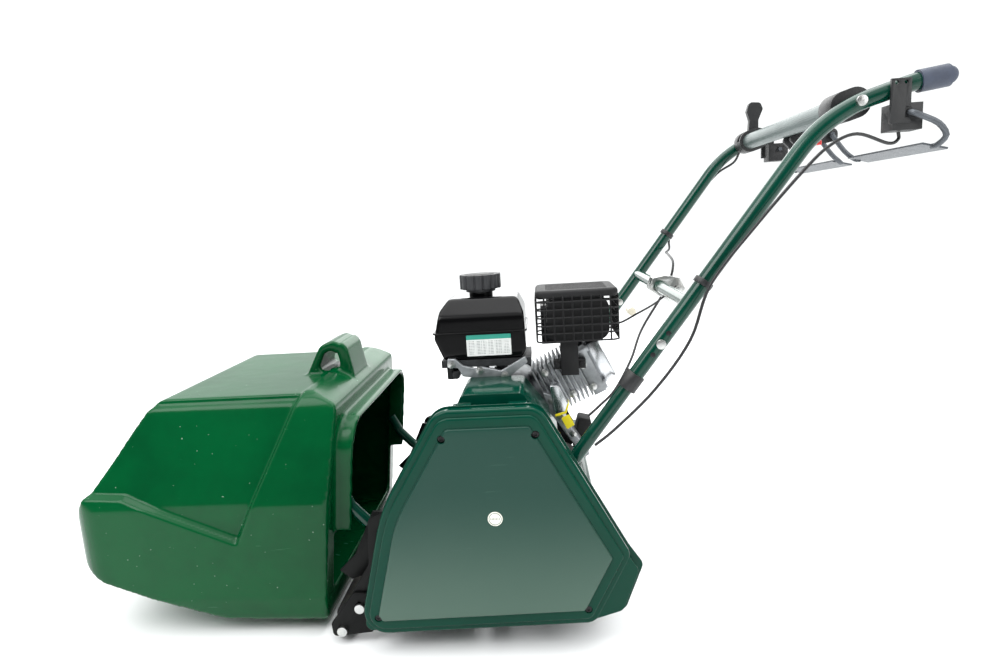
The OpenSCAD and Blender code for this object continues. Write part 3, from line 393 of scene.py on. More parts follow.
finishes = {
    "frameGreen": surface("frame green enamel", paints["frameGreen"], paints["frameGreenDeep"], (0.14, 0.22),
                          coat=0.2, mottle=9, grain=500, grainDepth=0.05, wave=60, waveDepth=0.2, marks=0.15,
                          markColour=rgb(70, 110, 98), specular=0.3),
    "coverGreen": surface("side cover green", rgb(0, 60, 45), rgb(0, 52, 39), (0.1, 0.16), mottle=5, grain=420,
                          grainDepth=0.05, wave=24, waveDepth=0.5, marks=0.1, markColour=rgb(50, 96, 82),
                          specular=0.15),
    # partly the parts' own black, partly painted shade: darker and duller than the black steel, for frame parts
    # that sit in shade between the grass box and the side cover
    "frameShadeBlack": surface("frame black with painted shade", rgb(10, 11, 11), rgb(6, 7, 7), (0.34, 0.5), mottle=20, grain=800,
                          grainDepth=0.1, marks=0.15, markColour=rgb(60, 60, 60), specular=0.15),
    "boxGreen": surface("grass box green", paints["boxGreen"], paints["boxGreenDeep"], (0.2, 0.3), coat=0.35,
                        mottle=4, grain=620, grainDepth=0.06, wave=18, waveDepth=0.8, marks=0.3,
                        markColour=rgb(60, 140, 100), dust=0.08),
    "blackSteel": surface("black painted steel", paints["black"], rgb(17, 18, 19), (0.3, 0.45), coat=0.15,
                          mottle=20, grain=800, grainDepth=0.08, marks=0.3, markColour=rgb(80, 80, 80), dust=0.2),
    "engineBlack": surface("engine black enamel", rgb(20, 21, 23), rgb(13, 14, 15), (0.2, 0.34), coat=0.35,
                           mottle=24, grain=700, grainDepth=0.06, marks=0.2, markColour=rgb(70, 70, 72), dust=0.12),
    "blackPlastic": surface("black moulded plastic", rgb(27, 28, 30), rgb(20, 21, 22), (0.38, 0.55), mottle=30,
                            grain=1500, grainDepth=0.3, dust=0.15),
    "tankBlack": surface("fuel tank black", rgb(12, 12, 13), rgb(8, 8, 9), (0.1, 0.18), mottle=8, grain=900,
                         grainDepth=0.05, wave=30, waveDepth=0.3, specular=0.15),
    "heatBlack": surface("heat proof black", rgb(32, 32, 33), rgb(24, 24, 25), (0.5, 0.66), mottle=24, grain=1400,
                         grainDepth=0.4, specular=0.25),
    "castDark": surface("dark cast alloy", rgb(58, 59, 61), rgb(40, 41, 43), (0.4, 0.6), metallic=0.6, mottle=50,
                        grain=1300, grainDepth=0.7),
    "consoleGrey": surface("console grey", rgb(92, 104, 102), rgb(82, 93, 92), (0.3, 0.42), metallic=0.3, mottle=12,
                           grain=900, grainDepth=0.1, specular=0.3),
    "capGrey": surface("cap grey plastic", rgb(44, 45, 48), rgb(34, 35, 38), (0.42, 0.58), mottle=30, grain=1500,
                       grainDepth=0.3, dust=0.15),
    "rubber": surface("grip rubber", rgb(60, 68, 86), rgb(48, 55, 70), (0.42, 0.55), mottle=40, grain=1800,
                      grainDepth=0.4),
    "sheath": surface("cable sheath", rgb(20, 20, 22), rgb(28, 28, 30), (0.3, 0.45), mottle=50, grain=2500,
                      grainDepth=0.15),
    "castAlloy": surface("cast alloy", rgb(176, 179, 182), rgb(146, 149, 152), (0.32, 0.5), metallic=0.85,
                         mottle=60, grain=1300, grainDepth=0.7, wave=180, waveDepth=0.3, dust=0.1),
    "brightAlloy": surface("bright alloy", rgb(212, 214, 216), rgb(192, 194, 197), (0.14, 0.28), metallic=1.0,
                           mottle=12, grain=900, grainDepth=0.08, stretch=(1, 16, 1), marks=0.2,
                           markColour=rgb(160, 160, 160)),
    "zinc": surface("zinc plated steel", rgb(206, 206, 202), rgb(178, 180, 180), (0.22, 0.4), metallic=1.0,
                    mottle=90, grain=1600, grainDepth=0.2),
    "bladeSteel": surface("blade steel", rgb(150, 152, 154), rgb(112, 113, 114), (0.28, 0.5), metallic=1.0,
                          mottle=26, grain=1200, grainDepth=0.25, stretch=(14, 1, 14), marks=0.5,
                          markColour=rgb(96, 84, 72)),
    "bailGrey": surface("bail grey", rgb(92, 96, 101), rgb(78, 82, 87), (0.34, 0.46), metallic=0.55, mottle=40,
                        grain=1500, grainDepth=0.2),
    "rollerRubber": surface("roller rubber", rgb(30, 30, 31), rgb(22, 22, 23), (0.6, 0.8), mottle=30, grain=900,
                            grainDepth=0.5, dust=0.2),
    "cream": surface("cream plastic", rgb(226, 220, 200), rgb(214, 207, 186), (0.3, 0.45), mottle=30, grain=1200,
                     grainDepth=0.1),
    "red": surface("red plastic", rgb(196, 30, 26), rgb(176, 22, 20), (0.28, 0.4), mottle=30, grain=1200,
                   grainDepth=0.1),
    "yellow": surface("yellow card", rgb(236, 220, 30), rgb(224, 206, 20), (0.5, 0.62), mottle=40, grain=900,
                      grainDepth=0.1),
    "screwBlack": surface("black screw", rgb(24, 24, 25), rgb(36, 36, 37), (0.3, 0.42), metallic=0.5, mottle=90,
                          grain=2400, grainDepth=0.2),
}

# the side frames, roller brackets, hanger hooks and front tube take the darker black, which carries painted shade
nodeFinish = {"tank_bracket": "castDark", "valve_cover": "brightAlloy", "left_side_frame": "frameShadeBlack",
              "right_side_frame": "frameShadeBlack", "front_roller_brackets": "frameShadeBlack", "hanger_hooks": "frameShadeBlack",
              "front_tube": "frameShadeBlack", "console_bar": "consoleGrey", "muffler": "heatBlack",
              "exhaust_duct": "heatBlack"}

slotFinish = {"green_frame": "frameGreen", "green_cover": "coverGreen", "green_box": "boxGreen",
              "black_steel": "blackSteel", "black_engine_steel": "engineBlack", "black_plastic": "blackPlastic",
              "grip_rubber": "rubber", "cable_sheath": "sheath", "roller_rubber": "rollerRubber",
              "belt_rubber": "rollerRubber", "cast_alloy": "castAlloy", "bright_alloy": "brightAlloy",
              "zinc_steel": "zinc", "blade_steel": "bladeSteel", "bail_steel": "bailGrey",
              "screw_black": "screwBlack", "cream_plastic": "cream", "red_plastic": "red"}



def finishOf(node):
    return finishes[nodeFinish.get(node) or slotFinish[slotOf[node]]]


for nodeName, cadNode in frame["nodes"].items():
    chosen = finishOf(nodeName)
    if not cadNode.data.materials:
        cadNode.data.materials.append(chosen)
    for slot in cadNode.material_slots:
        slot.material = chosen
print("finishes on", len(frame["nodes"]), "nodes")


studio = {"bright": (0.98, 1.0, 1.0, 1), "dark": (0.06, 0.06, 0.06, 1), "overhead": (1.5, 1.52, 1.52, 1),
          "strength": 1.1, "lamps": (("key", (-1.6, -1.6, 2.6), 1.8, 55, (-0.1, 0, 0.4)),
                                     ("top", (0.1, 0.3, 3.0), 2.4, 60, (0, 0, 0.4)),
                                     ("fill", (2.4, -1.8, 1.6), 1.6, 26, (0.1, 0, 0.4)),
                                     ("back", (0.2, 2.6, 1.8), 2.2, 30, (0, 0, 0.5)))}


def addStudio():
    world = bpy.data.worlds.new("studio")
    world.use_nodes = True
    # the room is bright behind the mower and overhead, and dim on the viewer's side
    tree = world.node_tree
    at = Wire(tree, tree.nodes.new("ShaderNodeTexCoord").outputs["Generated"])
    y, z = (at.to("ShaderNodeSeparateXYZ", None, k, Vector=at) for k in (1, 2))
    tone = at.mix(y.step(-0.5, 0.1), studio["dark"], studio["bright"])
    tone = at.mix(z.step(0.35, 0.8), tone, studio["overhead"])
    tree.links.new(tone.socket, tree.nodes["Background"].inputs[0])
    tree.nodes["Background"].inputs[1].default_value = studio["strength"]
    bpy.context.scene.world = world
    bpy.context.scene.view_settings.view_transform = "Standard"
    deselect()
    bpy.ops.mesh.primitive_plane_add(size=60, location=(0, 0, 0))
    floor = named(bpy.context.object, "floor")
    floor.data.materials.append(surface("pale floor", rgb(244, 245, 245), rgb(240, 241, 242), (0.55, 0.7), mottle=2,
                                        grain=60, grainDepth=0.02))
    for name, spot, size, power, aim in studio["lamps"]:
        bpy.ops.object.light_add(type="AREA", location=spot)
        lamp = bpy.context.object
        lamp.name = name
        lamp.data.size = size
        lamp.data.energy = power
        lamp.rotation_euler = (Vector(aim) - Vector(spot)).to_track_quat("-Z", "Y").to_euler()


addCamera()
addStudio()
print("camera and studio ready")

# fine copies of the CAD's own shapes, with their edges broken

edgeBreak = {"left_side_frame": 0.8, "right_side_frame": 0.8, "tie_tubes": 0.4, "front_tube": 0.4,
             "hanger_tubes": 0.3, "engine_bed": 0.8, "hanger_hooks": 0.5, "clutch_cowl": 1.4,
             "chain_case_back": 1.6, "right_cover": 1.5, "bearing_housings": 0.8, "cutter_blades": 0.3,
             "sole_bar": 0.5, "front_roller_brackets": 0.7, "crankcase": 1.2, "cylinder_barrel": 0.5,
             "cylinder_head": 0.7, "tank_bracket": 1.2, "recoil_housing": 1.2, "tube_collars": 0.8,
             "handle_bolts": 0.6, "bracket_bolts": 0.6, "console_caps": 1.5, "cable_bracket": 0.8,
             "air_cleaner": 1.6, "exhaust_duct": 1.2, "stop_button": 0.8, "starter_grip": 1.0, "switch_boxes": 1.2,
             "valve_cover": 2.0}

for nodeName, width in edgeBreak.items():
    place(twin(nodeName, width / 1000), finishOf(nodeName), slotOf[nodeName], bodyOf[nodeName], nodeName)
print("edges broken on", len(edgeBreak), "parts")


# grass box: one thick green moulding with a sunk side panel, a proud rear band, a raised mouth and a handle loop
grassBox = {"side": [(-726, 120), (-501, 32), (-302, 20), (-256, 430), (-302, 454), (-604, 454), (-752, 264),
                     (-776, 214), (-768, 154)], "sideRound": [50, 60, 12, 16, 24, 30, 12, 30, 30],
            "front": [(-269, 19), (269, 19), (285, 80), (285, 258), (231, 455), (-231, 455), (-285, 258),
                      (-285, 80)], "frontRound": [24, 24, 40, 14, 40, 40, 14, 40],
            "plan": [(-776, -285), (-256, -285), (-256, 285), (-776, 285)], "planRound": [62, 34, 34, 62],
            "wall": 8, "sunk": 14, "roofSunk": 6, "voxel": 3.6, "mouthHalf": 244, "mouthReach": 33.5,
            "collarLow": 182, "mouthLow": 62, "mouthTop": 399, "grip": [(-376, 448), (-270, 436), (-282, 504),
                                                                        (-308, 526), (-340, 514)],
            "gripRound": [10, 8, 22, 20, 26], "gripHole": [(-348, 461), (-298, 459), (-304, 494), (-316, 504),
                                                           (-332, 498)]}


def boxShell(name, d):
    g = grassBox
    body = plate(name, mm(rounded(inset(g["side"], d), [max(r - d, 4) for r in g["sideRound"]])), "Y", -0.29, 0.29)
    cut(body, plate("tool", mm(rounded(inset(g["front"], d), [max(r - d, 4) for r in g["frontRound"]])), "X", -0.8,
                    -0.24), "INTERSECT")
    return cut(body, plate("tool", mm(rounded(inset(g["plan"], d), [max(r - d, 4) for r in g["planRound"]])), "Z",
                           0, 0.48), "INTERSECT")


def rearAt(z):
    return -256 - 46 * (430 - z) / 410


def mouthShell(name, d, back, start):
    g = grassBox
    low, top, reach, half = start + d, g["mouthTop"] - d, g["mouthReach"] + d, g["mouthHalf"] - d
    side = [(rearAt(low) - back, low), (rearAt(low) + reach, low), (rearAt(top) + reach, top),
            (rearAt(top) - back, top)]
    body = plate(name, mm(rounded(side, [1, 3, 3, 1])), "Y", -half / 1000, half / 1000)
    rim = rounded([(-half, low), (half, low), (half, top), (-half, top)], [18, 18, 62, 62])
    return cut(body, plate("tool", mm(rim), "X", -0.8, -0.1), "INTERSECT")


def ledgeHeight(x):  # top of the ledge along the side, in mm
    return min(186 + 0.43 * (-453 - x), 276 + 0.05 * (-660 - x))


def easy(t):
    t = max(0.0, min(1.0, t))
    return t * t * (3 - 2 * t)


def sinkPanels(piece):
    g = grassBox
    for vert in piece.data.vertices:
        x, y, z = (c * 1000 for c in vert.co)
        ahead = easy((-440 + (z - 207) * 0.486 - x) / 10)
        above = easy((z - ledgeHeight(x)) / 9)
        if not ahead * above:
            continue
        side = easy((abs(y) - 205) / 22) * easy((470 - z) / 30)
        vert.co.y -= math.copysign(g["sunk"] * ahead * above * side, y) / 1000
        vert.co.z -= g["roofSunk"] * ahead * easy((z - 425) / 22) / 1000
        vert.co.x += 3 * above * easy((-640 - x) / 60) / 1000


def makeGrassBox():
    g = grassBox
    body = boxShell("grassBox", 0)
    cut(body, mouthShell("tool", 0, 12, g["collarLow"]), "UNION")
    cut(body, plate("tool", mm(rounded(g["grip"], g["gripRound"])), "Y", -0.056, 0.056), "UNION")
    cut(body, boxShell("tool", g["wall"]))
    cut(body, mouthShell("tool", g["wall"], 40, g["mouthLow"]))
    cut(body, plate("tool", mm(rounded(g["gripHole"], 8)), "Y", -0.07, 0.07))
    modify(body, "REMESH", mode="VOXEL", voxel_size=g["voxel"] / 1000)
    modify(body, "SMOOTH", factor=0.5, iterations=7)
    sinkPanels(body)
    modify(body, "SMOOTH", factor=0.5, iterations=2)
    faces = len(body.data.polygons) * 2
    modify(body, "DECIMATE", ratio=min(1.0, 190000 / faces))
    smooth(body, 60)
    place(body, boxFinish(), "green_box", "grass_box", "grass_box")
    print("grass box", faces, "->", len(body.data.polygons))


def boxFinish():
    mat, tree, shader, at = finishBase("grass box moulding", coat=0.08, coatRough=0.04, specular=0.15)
    cloud = at.noise(5, 4, 0.6).step(0.3, 0.7)
    tone = at.mix(cloud, rgb(0, 76, 38), rgb(0, 64, 32))
    streak = at.noise(30, 2, 0.5, (0.5, 1, 8)).step(0.68, 0.74) * at.noise(8, 3).step(0.56, 0.64)
    tone = at.mix(streak * 0.15, tone, rgb(50, 120, 84))
    speck = at.noise(170, 1, 0.5).step(0.79, 0.8)
    tone = at.mix(speck * 0.4, tone, rgb(180, 205, 188))
    roughness = 0.17 + 0.1 * at.noise(11, 5, 0.65) + streak * 0.12 + speck * 0.3
    height = at.noise(22, 2, 0.4) * 0.9 + at.noise(700, 2, 0.5) * 0.05
    bump = at.to("ShaderNodeBump", None, Height=height, Distance=0.001, Strength=0.5)
    drive(tree, shader, Base_Color=tone, Roughness=roughness, Normal=bump)
    return mat


makeGrassBox()


# chain cover: two raised steps and a panel, with rolled edges, four sunk screws and a plain round badge
chainCover = {"outline": [(-223, 39), (192, 53), (256, 176), (114, 440), (-59, 440), (-166, 264)],
              "round": [40, 26, 22, 36, 40, 300], "inset": [0, 11, 29], "face": [-341, -346, -350.2], "back": -320,
              "roll": [5, 4.6, 3.9], "screws": [(-50, 394), (105, 396), (-184, 74), (180, 82)], "screwHole": 6.8,
              "screwHead": 5.8, "socket": 3.1, "badge": (31, 254), "badgeRadius": 12.5,
              "lobe": [(-225, 37), (190, 50), (246, 68), (278, 150), (254, 186), (116, 442), (-60, 442),
                       (-168, 265)], "lobeInset": 9, "lobeFace": -339.6}


def makeChainCover():
    c = chainCover
    levels = []
    for k, (d, y) in enumerate(zip(c["inset"], c["face"])):
        shape = rounded(inset(c["outline"], d), [max(r - d, 6) for r in c["round"]], 12)
        back = c["back"] if k == 0 else c["face"][k - 1] + 3
        level = plate("level", mm(shape), "Y", back / 1000, y / 1000)
        modify(level, "BEVEL", width=c["roll"][k] / 1000, segments=5, limit_method="ANGLE",
               angle_limit=math.radians(50))
        for screw in c["screws"]:
            cut(level, rod("tool", (screw[0] / 1000, -0.3485, screw[1] / 1000), c["screwHole"] / 1000, 0.015, "Y"))
        levels.append(level)
    place(smooth(named(levels.pop(), "coverPanel"), 45), floorReflectionPanelFinish(), "green_cover", "chassis", "chain_cover")
    place(smooth(merged("coverRim", levels), 45), finishes["coverGreen"], "green_cover", "chassis", "chain_cover")
    screws = []
    for x, z in c["screws"]:
        head = rod("screw", (x / 1000, -0.3425, z / 1000), c["screwHead"] / 1000, 0.004, "Y", 32)
        cut(head, rod("tool", (x / 1000, -0.3445, z / 1000), c["socket"] / 1000, 0.004, "Y", 6))
        softened(head, 0.0006, 2)
        screws.append(head)
    place(merged("coverScrews", screws), finishes["screwBlack"], "screw_black", "chassis", "cover_screws")
    lobe = rounded(inset(c["lobe"], c["lobeInset"]), 14, 8)
    panel = plate("lobePanel", mm(lobe), "Y", -0.33, c["lobeFace"] / 1000)
    place(softened(panel, 0.0014, 3, 50), finishes["coverGreen"], "green_cover", "chassis")
    x, z = c["badge"]
    badge = softened(rod("badge", (x / 1000, -0.3503, z / 1000), c["badgeRadius"] / 1000, 0.0014, "Y", 64), 0.0003,
                     2)
    place(badge, badgeFinish(x / 1000, z / 1000), "green_cover", "chassis")
    print("chain cover")


def floorReflectionPanelFinish():  # paler low down: a painted reflection of the bright floor close to the machine
    mat, tree, shader, at = finishBase("side cover panel with painted floor reflection", specular=0.3)
    z = at.to("ShaderNodeSeparateXYZ", None, 2, Vector=at)
    height = z + 0.03 * at.noise(4, 3)
    # painted reflection: the pale tone low on the panel stands for the floor mirrored in it, and it runs darker
    # higher up
    tone = at.mix(height.step(0.03, 0.33), rgb(76, 100, 88), rgb(8, 56, 45))
    scratch = at.noise(26, 2, 0.5, (0.5, 1, 9)).step(0.68, 0.73) * at.noise(9, 3).step(0.57, 0.63)
    tone = at.mix(scratch * 0.12, tone, rgb(80, 116, 104))
    roughness = 0.33 + 0.1 * at.noise(12, 4, 0.6)
    bump = at.to("ShaderNodeBump", None, Height=at.noise(20, 2, 0.4) * 0.4 + at.noise(420, 2) * 0.05,
                 Distance=0.001, Strength=0.5)
    drive(tree, shader, Base_Color=tone, Roughness=roughness, Normal=bump)
    return mat


def badgeFinish(cx, cz):
    mat, tree, shader, at = finishBase("round badge", coat=0.5)
    x, z = (at.to("ShaderNodeSeparateXYZ", None, k, Vector=at) for k in (0, 2))
    dx, dz = x - cx, z - cz
    r = at.maths("SQRT", dx * dx + dz * dz)
    ring = r.between(0.0098, 0.0106, 0.0002)
    bar = dz.between(-0.0016, 0.0016, 0.0002) * dx.between(-0.0082, 0.0082, 0.0002)
    gap = at.maths("ABSOLUTE", at.maths("FRACT", dx * 420) - 0.5).step(0.28, 0.34)
    tone = at.mix(at.noise(160, 3).step(0.3, 0.7), rgb(236, 236, 226), rgb(222, 222, 210))
    tone = at.mix(ring, tone, rgb(52, 78, 60))
    tone = at.mix(bar * gap, tone, rgb(40, 48, 44))
    drive(tree, shader, Base_Color=tone, Roughness=0.25 + 0.15 * at.noise(300, 3))
    return mat


makeChainCover()


# handle: two long tubes on each side, with one sweep at the top
handle = {"y": 280, "upper": [(264, 453), (584, 876), (714, 914), (759, 920)], "bend": 215, "upperRadius": 13.5,
          "lower": [(106, 306.3), (164.1, 321), (354.5, 572.6)], "lowerBend": 40, "lowerRadius": 12,
          "cross": (367.8, 590.2), "crossRadius": 11.5, "lean": (0.6033, 0.7975), "holes": [69, 113], "plug": 4.2}


def makeHandle():
    h = handle
    for side, word in ((-1, "left"), (1, "right")):
        y = side * h["y"] / 1000
        line = bentLine([(x / 1000, y, z / 1000) for x, z in h["upper"]], h["bend"] / 1000, 16)
        upper = tube(word + "UpperTube", line, h["upperRadius"] / 1000, 40, False)
        if side < 0:
            x, z = h["cross"]
            bar = rod("crossTube", (x / 1000, 0, z / 1000), h["crossRadius"] / 1000, 2 * h["y"] / 1000, "Y", 40)
            upper = merged("upperTube", [upper, smooth(bar, 50)])
        place(upper, finishes["frameGreen"], "green_frame", "chassis", "upper_handle")
        line = bentLine([(x / 1000, y, z / 1000) for x, z in h["lower"]], h["lowerBend"] / 1000, 12)
        lower = tube(word + "LowerTube", line, h["lowerRadius"] / 1000, 40, False)
        place(lower, finishes["frameGreen"], "green_frame", "chassis", "lower_handle")
    plugs = []
    for at in h["holes"]:
        x, z = h["upper"][0][0] + at * h["lean"][0], h["upper"][0][1] + at * h["lean"][1]
        for side in (-1, 1):
            y = side * (h["y"] + h["upperRadius"] - 1.2)
            plugs.append(rod("plug", (x / 1000, y / 1000, z / 1000), h["plug"] / 1000, 0.003, "Y", 24))
    place(softened(merged("adjustingHoles", plugs), 0.0004, 2), finishes["screwBlack"], "screw_black", "chassis")
    print("handle")


makeHandle()


# cables, each one smooth line
cables = {"near": [(694, -276, 841), (694, -276, 830), (672, -290, 824), (620, -302, 840), (580, -304, 826),
                   (540, -304, 790), (470, -304, 712), (398, -305, 622), (363, -312, 534), (305, -312, 454),
                   (240, -310, 390), (204, -306, 360)], "far": [(606, 252, 866), (594, 258, 844), (564, 292, 822),
                                                                (520, 306, 770), (456, 306, 684), (446, 284, 650),
                                                                (430, 240, 644), (412, 120, 646), (408, 46, 630),
                                                                (392, 34, 584), (334, 10, 500), (300, -60, 450),
                                                                (262, -106, 402), (232, -112, 374),
                                                                (206, -114, 352)], "engine": [(398, -34, 592),
                                                                                              (356, -36, 560),
                                                                                              (316, -24, 536),
                                                                                              (290, 10, 516),
                                                                                              (262, 50, 506),
                                                                                              (222, 78, 506)],
          "radius": 2.6, "thin": 2.0}


def makeCables():
    for word in ("near", "far", "engine"):
        r = cables["thin" if word == "engine" else "radius"] / 1000
        piece = tube(word + "Cable", mm(cables[word]), r, 16)
        place(piece, finishes["sheath"], "cable_sheath", "chassis", "control_cables")
    clips = []
    for at, side in ((212, -1), (292, 1)):
        x, z = handle["upper"][0][0] + at * handle["lean"][0], handle["upper"][0][1] + at * handle["lean"][1]
        clip = rod("clip", (0, 0, 0), 0.0165, 0.01, "Z", 40)
        cut(clip, rod("tool", (0, 0, 0), 0.0137, 0.02, "Z", 40))
        clip.rotation_euler = (0, math.atan2(handle["lean"][0], handle["lean"][1]), 0)
        clip.location = (x / 1000, side * handle["y"] / 1000, z / 1000)
        clips.append(softened(settle(clip), 0.0008, 2))
    place(merged("cableClips", clips), finishes["blackPlastic"], "cable_sheath", "chassis", "control_cables")
    print("cables")


makeCables()


# fuel tank: two pressed halves on a seam, a filler neck, a plain label
tank = {"x": (-88, 92), "y": (-120, 50), "z": (477, 595), "seam": (529.2, 532.8), "label": (-24, 63, 485, 526.5),
        "cap": (3, -35), "sideRound": [8, 8, 8, 14, 12, 12, 14, 12], "frontRound": [8, 8, 8, 14, 12, 12, 14, 8],
        "voxel": 2.4, "lip": 3, "lipRound": 14, "neckHeight": 606, "neckRadius": 24, "neckLength": 26}


def makeTank():
    (x0, x1), (y0, y1), (z0, z1) = tank["x"], tank["y"], tank["z"]
    side = [(x0 + 18, z0), (x1 - 10, z0), (x1, z0 + 16), (x1 - 2, z1 - 30), (x1 - 14, z1), (x0 + 30, z1),
            (x0 + 12, z1 - 22), (x0, z0 + 44)]
    front = [(y0 + 5, z0 - 1), (y1 - 6, z0 - 1), (y1, z0 + 20), (y1 - 4, z1 - 34), (y1 - 36, z1 + 1),
             (y0 + 36, z1 + 1), (y0 + 4, z1 - 34), (y0, z0 + 8)]
    body = plate("fuelTank", mm(rounded(side, tank["sideRound"])), "Y", y0 / 1000, y1 / 1000)
    tool = plate("tool", mm(rounded(front, tank["frontRound"])), "X", (x0 - 5) / 1000, (x1 + 5) / 1000)
    cut(body, tool, "INTERSECT")
    modify(body, "REMESH", mode="VOXEL", voxel_size=tank["voxel"] / 1000)
    modify(body, "SMOOTH", factor=0.5, iterations=14)
    smooth(body, 60)
    lip = tank["lip"]
    edge = [(x0 - lip, y0 - lip), (x1 + lip, y0 - lip), (x1 + lip, y1 + lip), (x0 - lip, y1 + lip)]
    seam = plate("seam", mm(rounded(edge, tank["lipRound"])), "Z", tank["seam"][0] / 1000, tank["seam"][1] / 1000)
    softened(seam, 0.0012, 3)
    centre = (tank["cap"][0] / 1000, tank["cap"][1] / 1000, tank["neckHeight"] / 1000)
    ring = softened(rod("neck", centre, tank["neckRadius"] / 1000, tank["neckLength"] / 1000, "Z", 64), 0.0015, 3)
    place(merged("fuelTank", [body, seam, ring]), finishes["tankBlack"], "black_engine_steel", "chassis",
          "fuel_tank")
    a, b, c, d = tank["label"]
    label = plate("tankLabel", mm(rounded([(a, c), (b, c), (b, d), (a, d)], 2)), "Y", -0.1202, -0.1207)
    place(label, labelFinish(), "black_engine_steel", "chassis")
    print("tank")


def labelFinish():
    a, b, c, d = (v / 1000 for v in tank["label"])
    mat, tree, shader, at = finishBase("tank label", coat=0.4)
    x, z = (at.to("ShaderNodeSeparateXYZ", None, k, Vector=at) for k in (0, 2))
    head = z.step(d - 0.0092, d - 0.009)
    rows = at.maths("ABSOLUTE", at.maths("FRACT", z * 330) - 0.5).step(0.24, 0.14)
    words = at.noise(520, 1, 0.5, (1, 1, 0.02)).step(0.44, 0.5)
    edge = x.between(a + 0.004, b - 0.004, 0.0006) * z.between(c + 0.004, d - 0.0115, 0.0004)
    tone = at.mix(at.noise(120, 3).step(0.3, 0.7), rgb(232, 234, 232), rgb(220, 223, 221))
    tone = at.mix(rows * words * edge * 0.75, tone, rgb(96, 100, 102))
    tone = at.mix(head, tone, rgb(0, 148, 128))
    drive(tree, shader, Base_Color=tone, Roughness=0.28 + 0.15 * at.noise(200, 3))
    return mat


makeTank()


# fuel cap: a broad grooved grip on a short skirt
cap = {"centre": (3, -35), "z": 603, "grip": 42, "groove": 4.6, "skirt": 30, "bore": 24.6, "disc": 30, "height": 36,
       "scallops": 14}


def makeCap():
    cx, cy = cap["centre"]
    ring = []
    for k in range(192):
        t = 2 * math.pi * k / 192
        dip = abs(math.sin(cap["scallops"] * t / 2))
        r = cap["grip"] - cap["groove"] * (1 - dip) ** 2
        ring.append((cx + r * math.cos(t), cy + r * math.sin(t)))
    z = cap["z"]
    grip = softened(plate("grip", mm(ring), "Z", (z + 6) / 1000, (z + cap["height"] - 1) / 1000), 0.0026, 4, 50)

    def turned(word, height, radius, length):
        return rod(word, (cx / 1000, cy / 1000, height / 1000), radius / 1000, length, "Z", 64)
    skirt = softened(turned("skirt", z + 8, cap["skirt"], 0.016), 0.001, 2)
    disc = softened(turned("disc", z + cap["height"] - 1, cap["disc"], 0.002), 0.0008, 2)
    cut(skirt, turned("tool", z + 4, cap["bore"], 0.016))
    place(merged("fuelCap", [grip, skirt, disc]), finishes["capGrey"], "black_plastic", "fuel_cap", "fuel_cap")
    print("cap")


makeCap()


# muffler guard: a pressed top with a wire basket under it
guard = {"x": (112, 274), "y": (-126, 22), "z": (504, 605), "wire": 1.7, "corner": 16, "rings": 6, "across": 9,
         "along": 7, "slots": 7, "lid": 17, "bend": 12}


def ringAt(z, grow=0):
    (x0, x1), (y0, y1) = guard["x"], guard["y"]
    w = guard["wire"] + grow
    flat = rounded([(x0 + w, y0 + w), (x1 - w, y0 + w), (x1 - w, y1 - w), (x0 + w, y1 - w)], guard["corner"], 6)
    return [(x / 1000, y / 1000, z / 1000) for x, y in flat]


def makeGuard():
    (x0, x1), (y0, y1), (z0, z1) = guard["x"], guard["y"], guard["z"]
    w = guard["wire"] / 1000
    wires = [tube("wire", ringAt(z0 + w * 1000 + (z1 - z0 - 24) * k / (guard["rings"] - 1)), w, 8, False, True)
             for k in range(guard["rings"])]
    foot, head = z0 / 1000 + w, z1 / 1000 - 0.006

    def hoop(near, far):
        wires.append(tube("wire", bentLine([(*near, foot), (*near, head), (*far, head), (*far, foot)],
                                           guard["bend"] / 1000, 6), w, 8, False))
    for k in range(1, guard["across"]):
        x = (x0 + (x1 - x0) * k / guard["across"]) / 1000
        hoop((x, y0 / 1000 + w), (x, y1 / 1000 - w))
    for k in range(1, guard["along"]):
        y = (y0 + (y1 - y0) * k / guard["along"]) / 1000
        hoop((x0 / 1000 + w, y), (x1 / 1000 - w, y))
    lid = plate("lid", mm([(x * 1000, y * 1000) for x, y, z in ringAt(0)]), "Z", (z1 - guard["lid"]) / 1000,
                z1 / 1000)
    modify(lid, "BEVEL", width=0.007, segments=5, limit_method="ANGLE", angle_limit=math.radians(50))
    well = plate("tool", mm([(x * 1000, y * 1000) for x, y, z in ringAt(0, 2.5)]), "Z", (z1 - 20) / 1000,
                 (z1 - 7) / 1000)
    cut(lid, well)
    for k in range(guard["slots"]):
        y = (y0 + 26 + (y1 - y0 - 52) * k / (guard["slots"] - 1)) / 1000
        cut(lid, block("slot", ((x0 + 22) / 1000, y - 0.0035, 0.59), ((x1 - 22) / 1000, y + 0.0035, 0.62)))
    smooth(lid, 35)
    place(merged("guardBasket", wires + [lid]), finishes["heatBlack"], "black_engine_steel", "chassis",
          "muffler_guard")
    print("guard")


makeGuard()


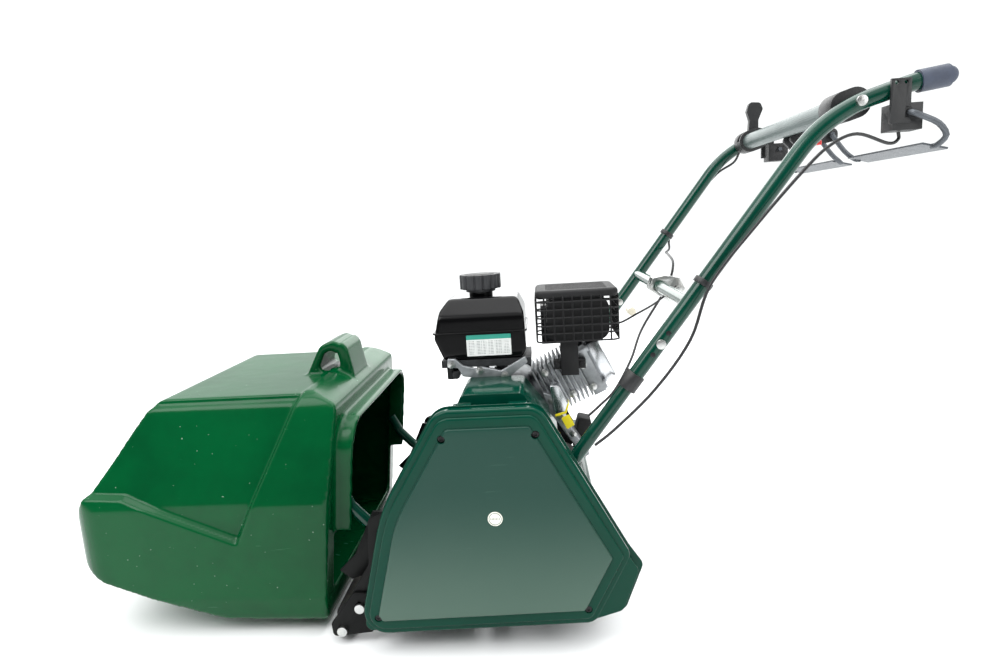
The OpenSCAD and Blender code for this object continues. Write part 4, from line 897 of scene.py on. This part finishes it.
# castings and fittings around the engine
engineTrim = {"arm": [(-63.3, 482.4), (-47.8, 481.7), (-33.6, 467.6), (-8.2, 460.6), (1.5, 464), (40.9, 454.4),
                      (53, 461), (89.1, 480.8), (93.2, 468.7), (59, 444), (46.3, 427.7), (30.3, 435.6), (2.1, 437),
                      (-5.5, 430), (-14.1, 442.5), (-35.2, 445.9), (-43.4, 463.2), (-64.7, 464.2)],
              "armFace": -125.5, "armBack": -116, "armBolts": [(-1, 457.3), (47.6, 445.4), (-3.3, 435.8),
                                                               (42, 430.3), (-55.7, 471.5)], "headFace": -97,
              "headBolts": [(153.5, 454.6), (200.4, 452.4), (124.5, 439), (219.8, 407.8), (179.2, 395)],
              "chute": [(132.6, 419.4), (151.3, 418.5), (168.3, 381.5), (162.9, 364.7), (141.5, 358.3)],
              "chuteSpan": (-123, -84), "lip": [(141.5, 361), (141.5, 356), (163.5, 362.5), (170, 381.5),
                                                (166.5, 381.5), (161, 366)], "tag": [(153.2, 353.3), (168.8, 360.8),
                                                                                     (178.5, 338.7), (163.8,
                                                                                                      329.7)],
              "tagSpan": (-125, -123.4), "funnel": [(190.4, 334.1), (215.2, 327.8), (217.6, 285.7), (192.8, 268.2),
                                                    (178.6, 292.6)], "funnelSpan": (-64, -20),
              "flank": [(118, 404), (134, 398), (150, 372), (166, 340), (190, 300), (208, 272), (196, 266),
                        (170, 302), (146, 340), (128, 366)], "flankSpan": (-112, -66),
              "flankBolts": [(136, 386), (152, 352), (176, 316), (196, 282)]}


def boltHeads(name, places, face, radius=5.2):
    heads = []
    for x, z in places:
        washer = rod(name, (x / 1000, (face - 1.5) / 1000, z / 1000), (radius + 2.2) / 1000, 0.004, "Y", 32)
        nut = rod(name, (x / 1000, (face - 4.5) / 1000, z / 1000), radius / 1000, 0.005, "Y", 6)
        heads += [softened(washer, 0.0005, 2), softened(nut, 0.0006, 2)]
    return heads


def makeEngineTrim():
    t = engineTrim

    def fitting(name, outline, span, round, edge, finish, slot):
        piece = plate(name, mm(rounded(t[outline], round, 5)), "Y", span[0] / 1000, span[1] / 1000)
        return place(softened(piece, edge, 3, 40), finishes[finish], slot, "chassis")
    fitting("engineArm", "arm", (t["armFace"], t["armBack"]), 3, 0.0016, "castAlloy", "cast_alloy")
    fitting("airChute", "chute", t["chuteSpan"], 4, 0.002, "brightAlloy", "bright_alloy")
    fitting("chuteLip", "lip", (t["chuteSpan"][0] - 1, t["chuteSpan"][1]), 1, 0.0004, "yellow", "cream_plastic")
    fitting("oilTag", "tag", t["tagSpan"], 2, 0.0004, "yellow", "cream_plastic")
    fitting("intakeFunnel", "funnel", t["funnelSpan"], 5, 0.003, "heatBlack", "black_plastic")
    fitting("crankFlank", "flank", t["flankSpan"], 3, 0.002, "castAlloy", "cast_alloy")
    heads = boltHeads("bolt", t["armBolts"], t["armFace"]) + boltHeads("bolt", t["headBolts"], t["headFace"], 5.6)
    heads += boltHeads("bolt", t["flankBolts"], t["flankSpan"][0], 4.2)
    place(merged("engineBolts", heads), finishes["zinc"], "zinc_steel", "chassis")
    print("engine trim")


makeEngineTrim()
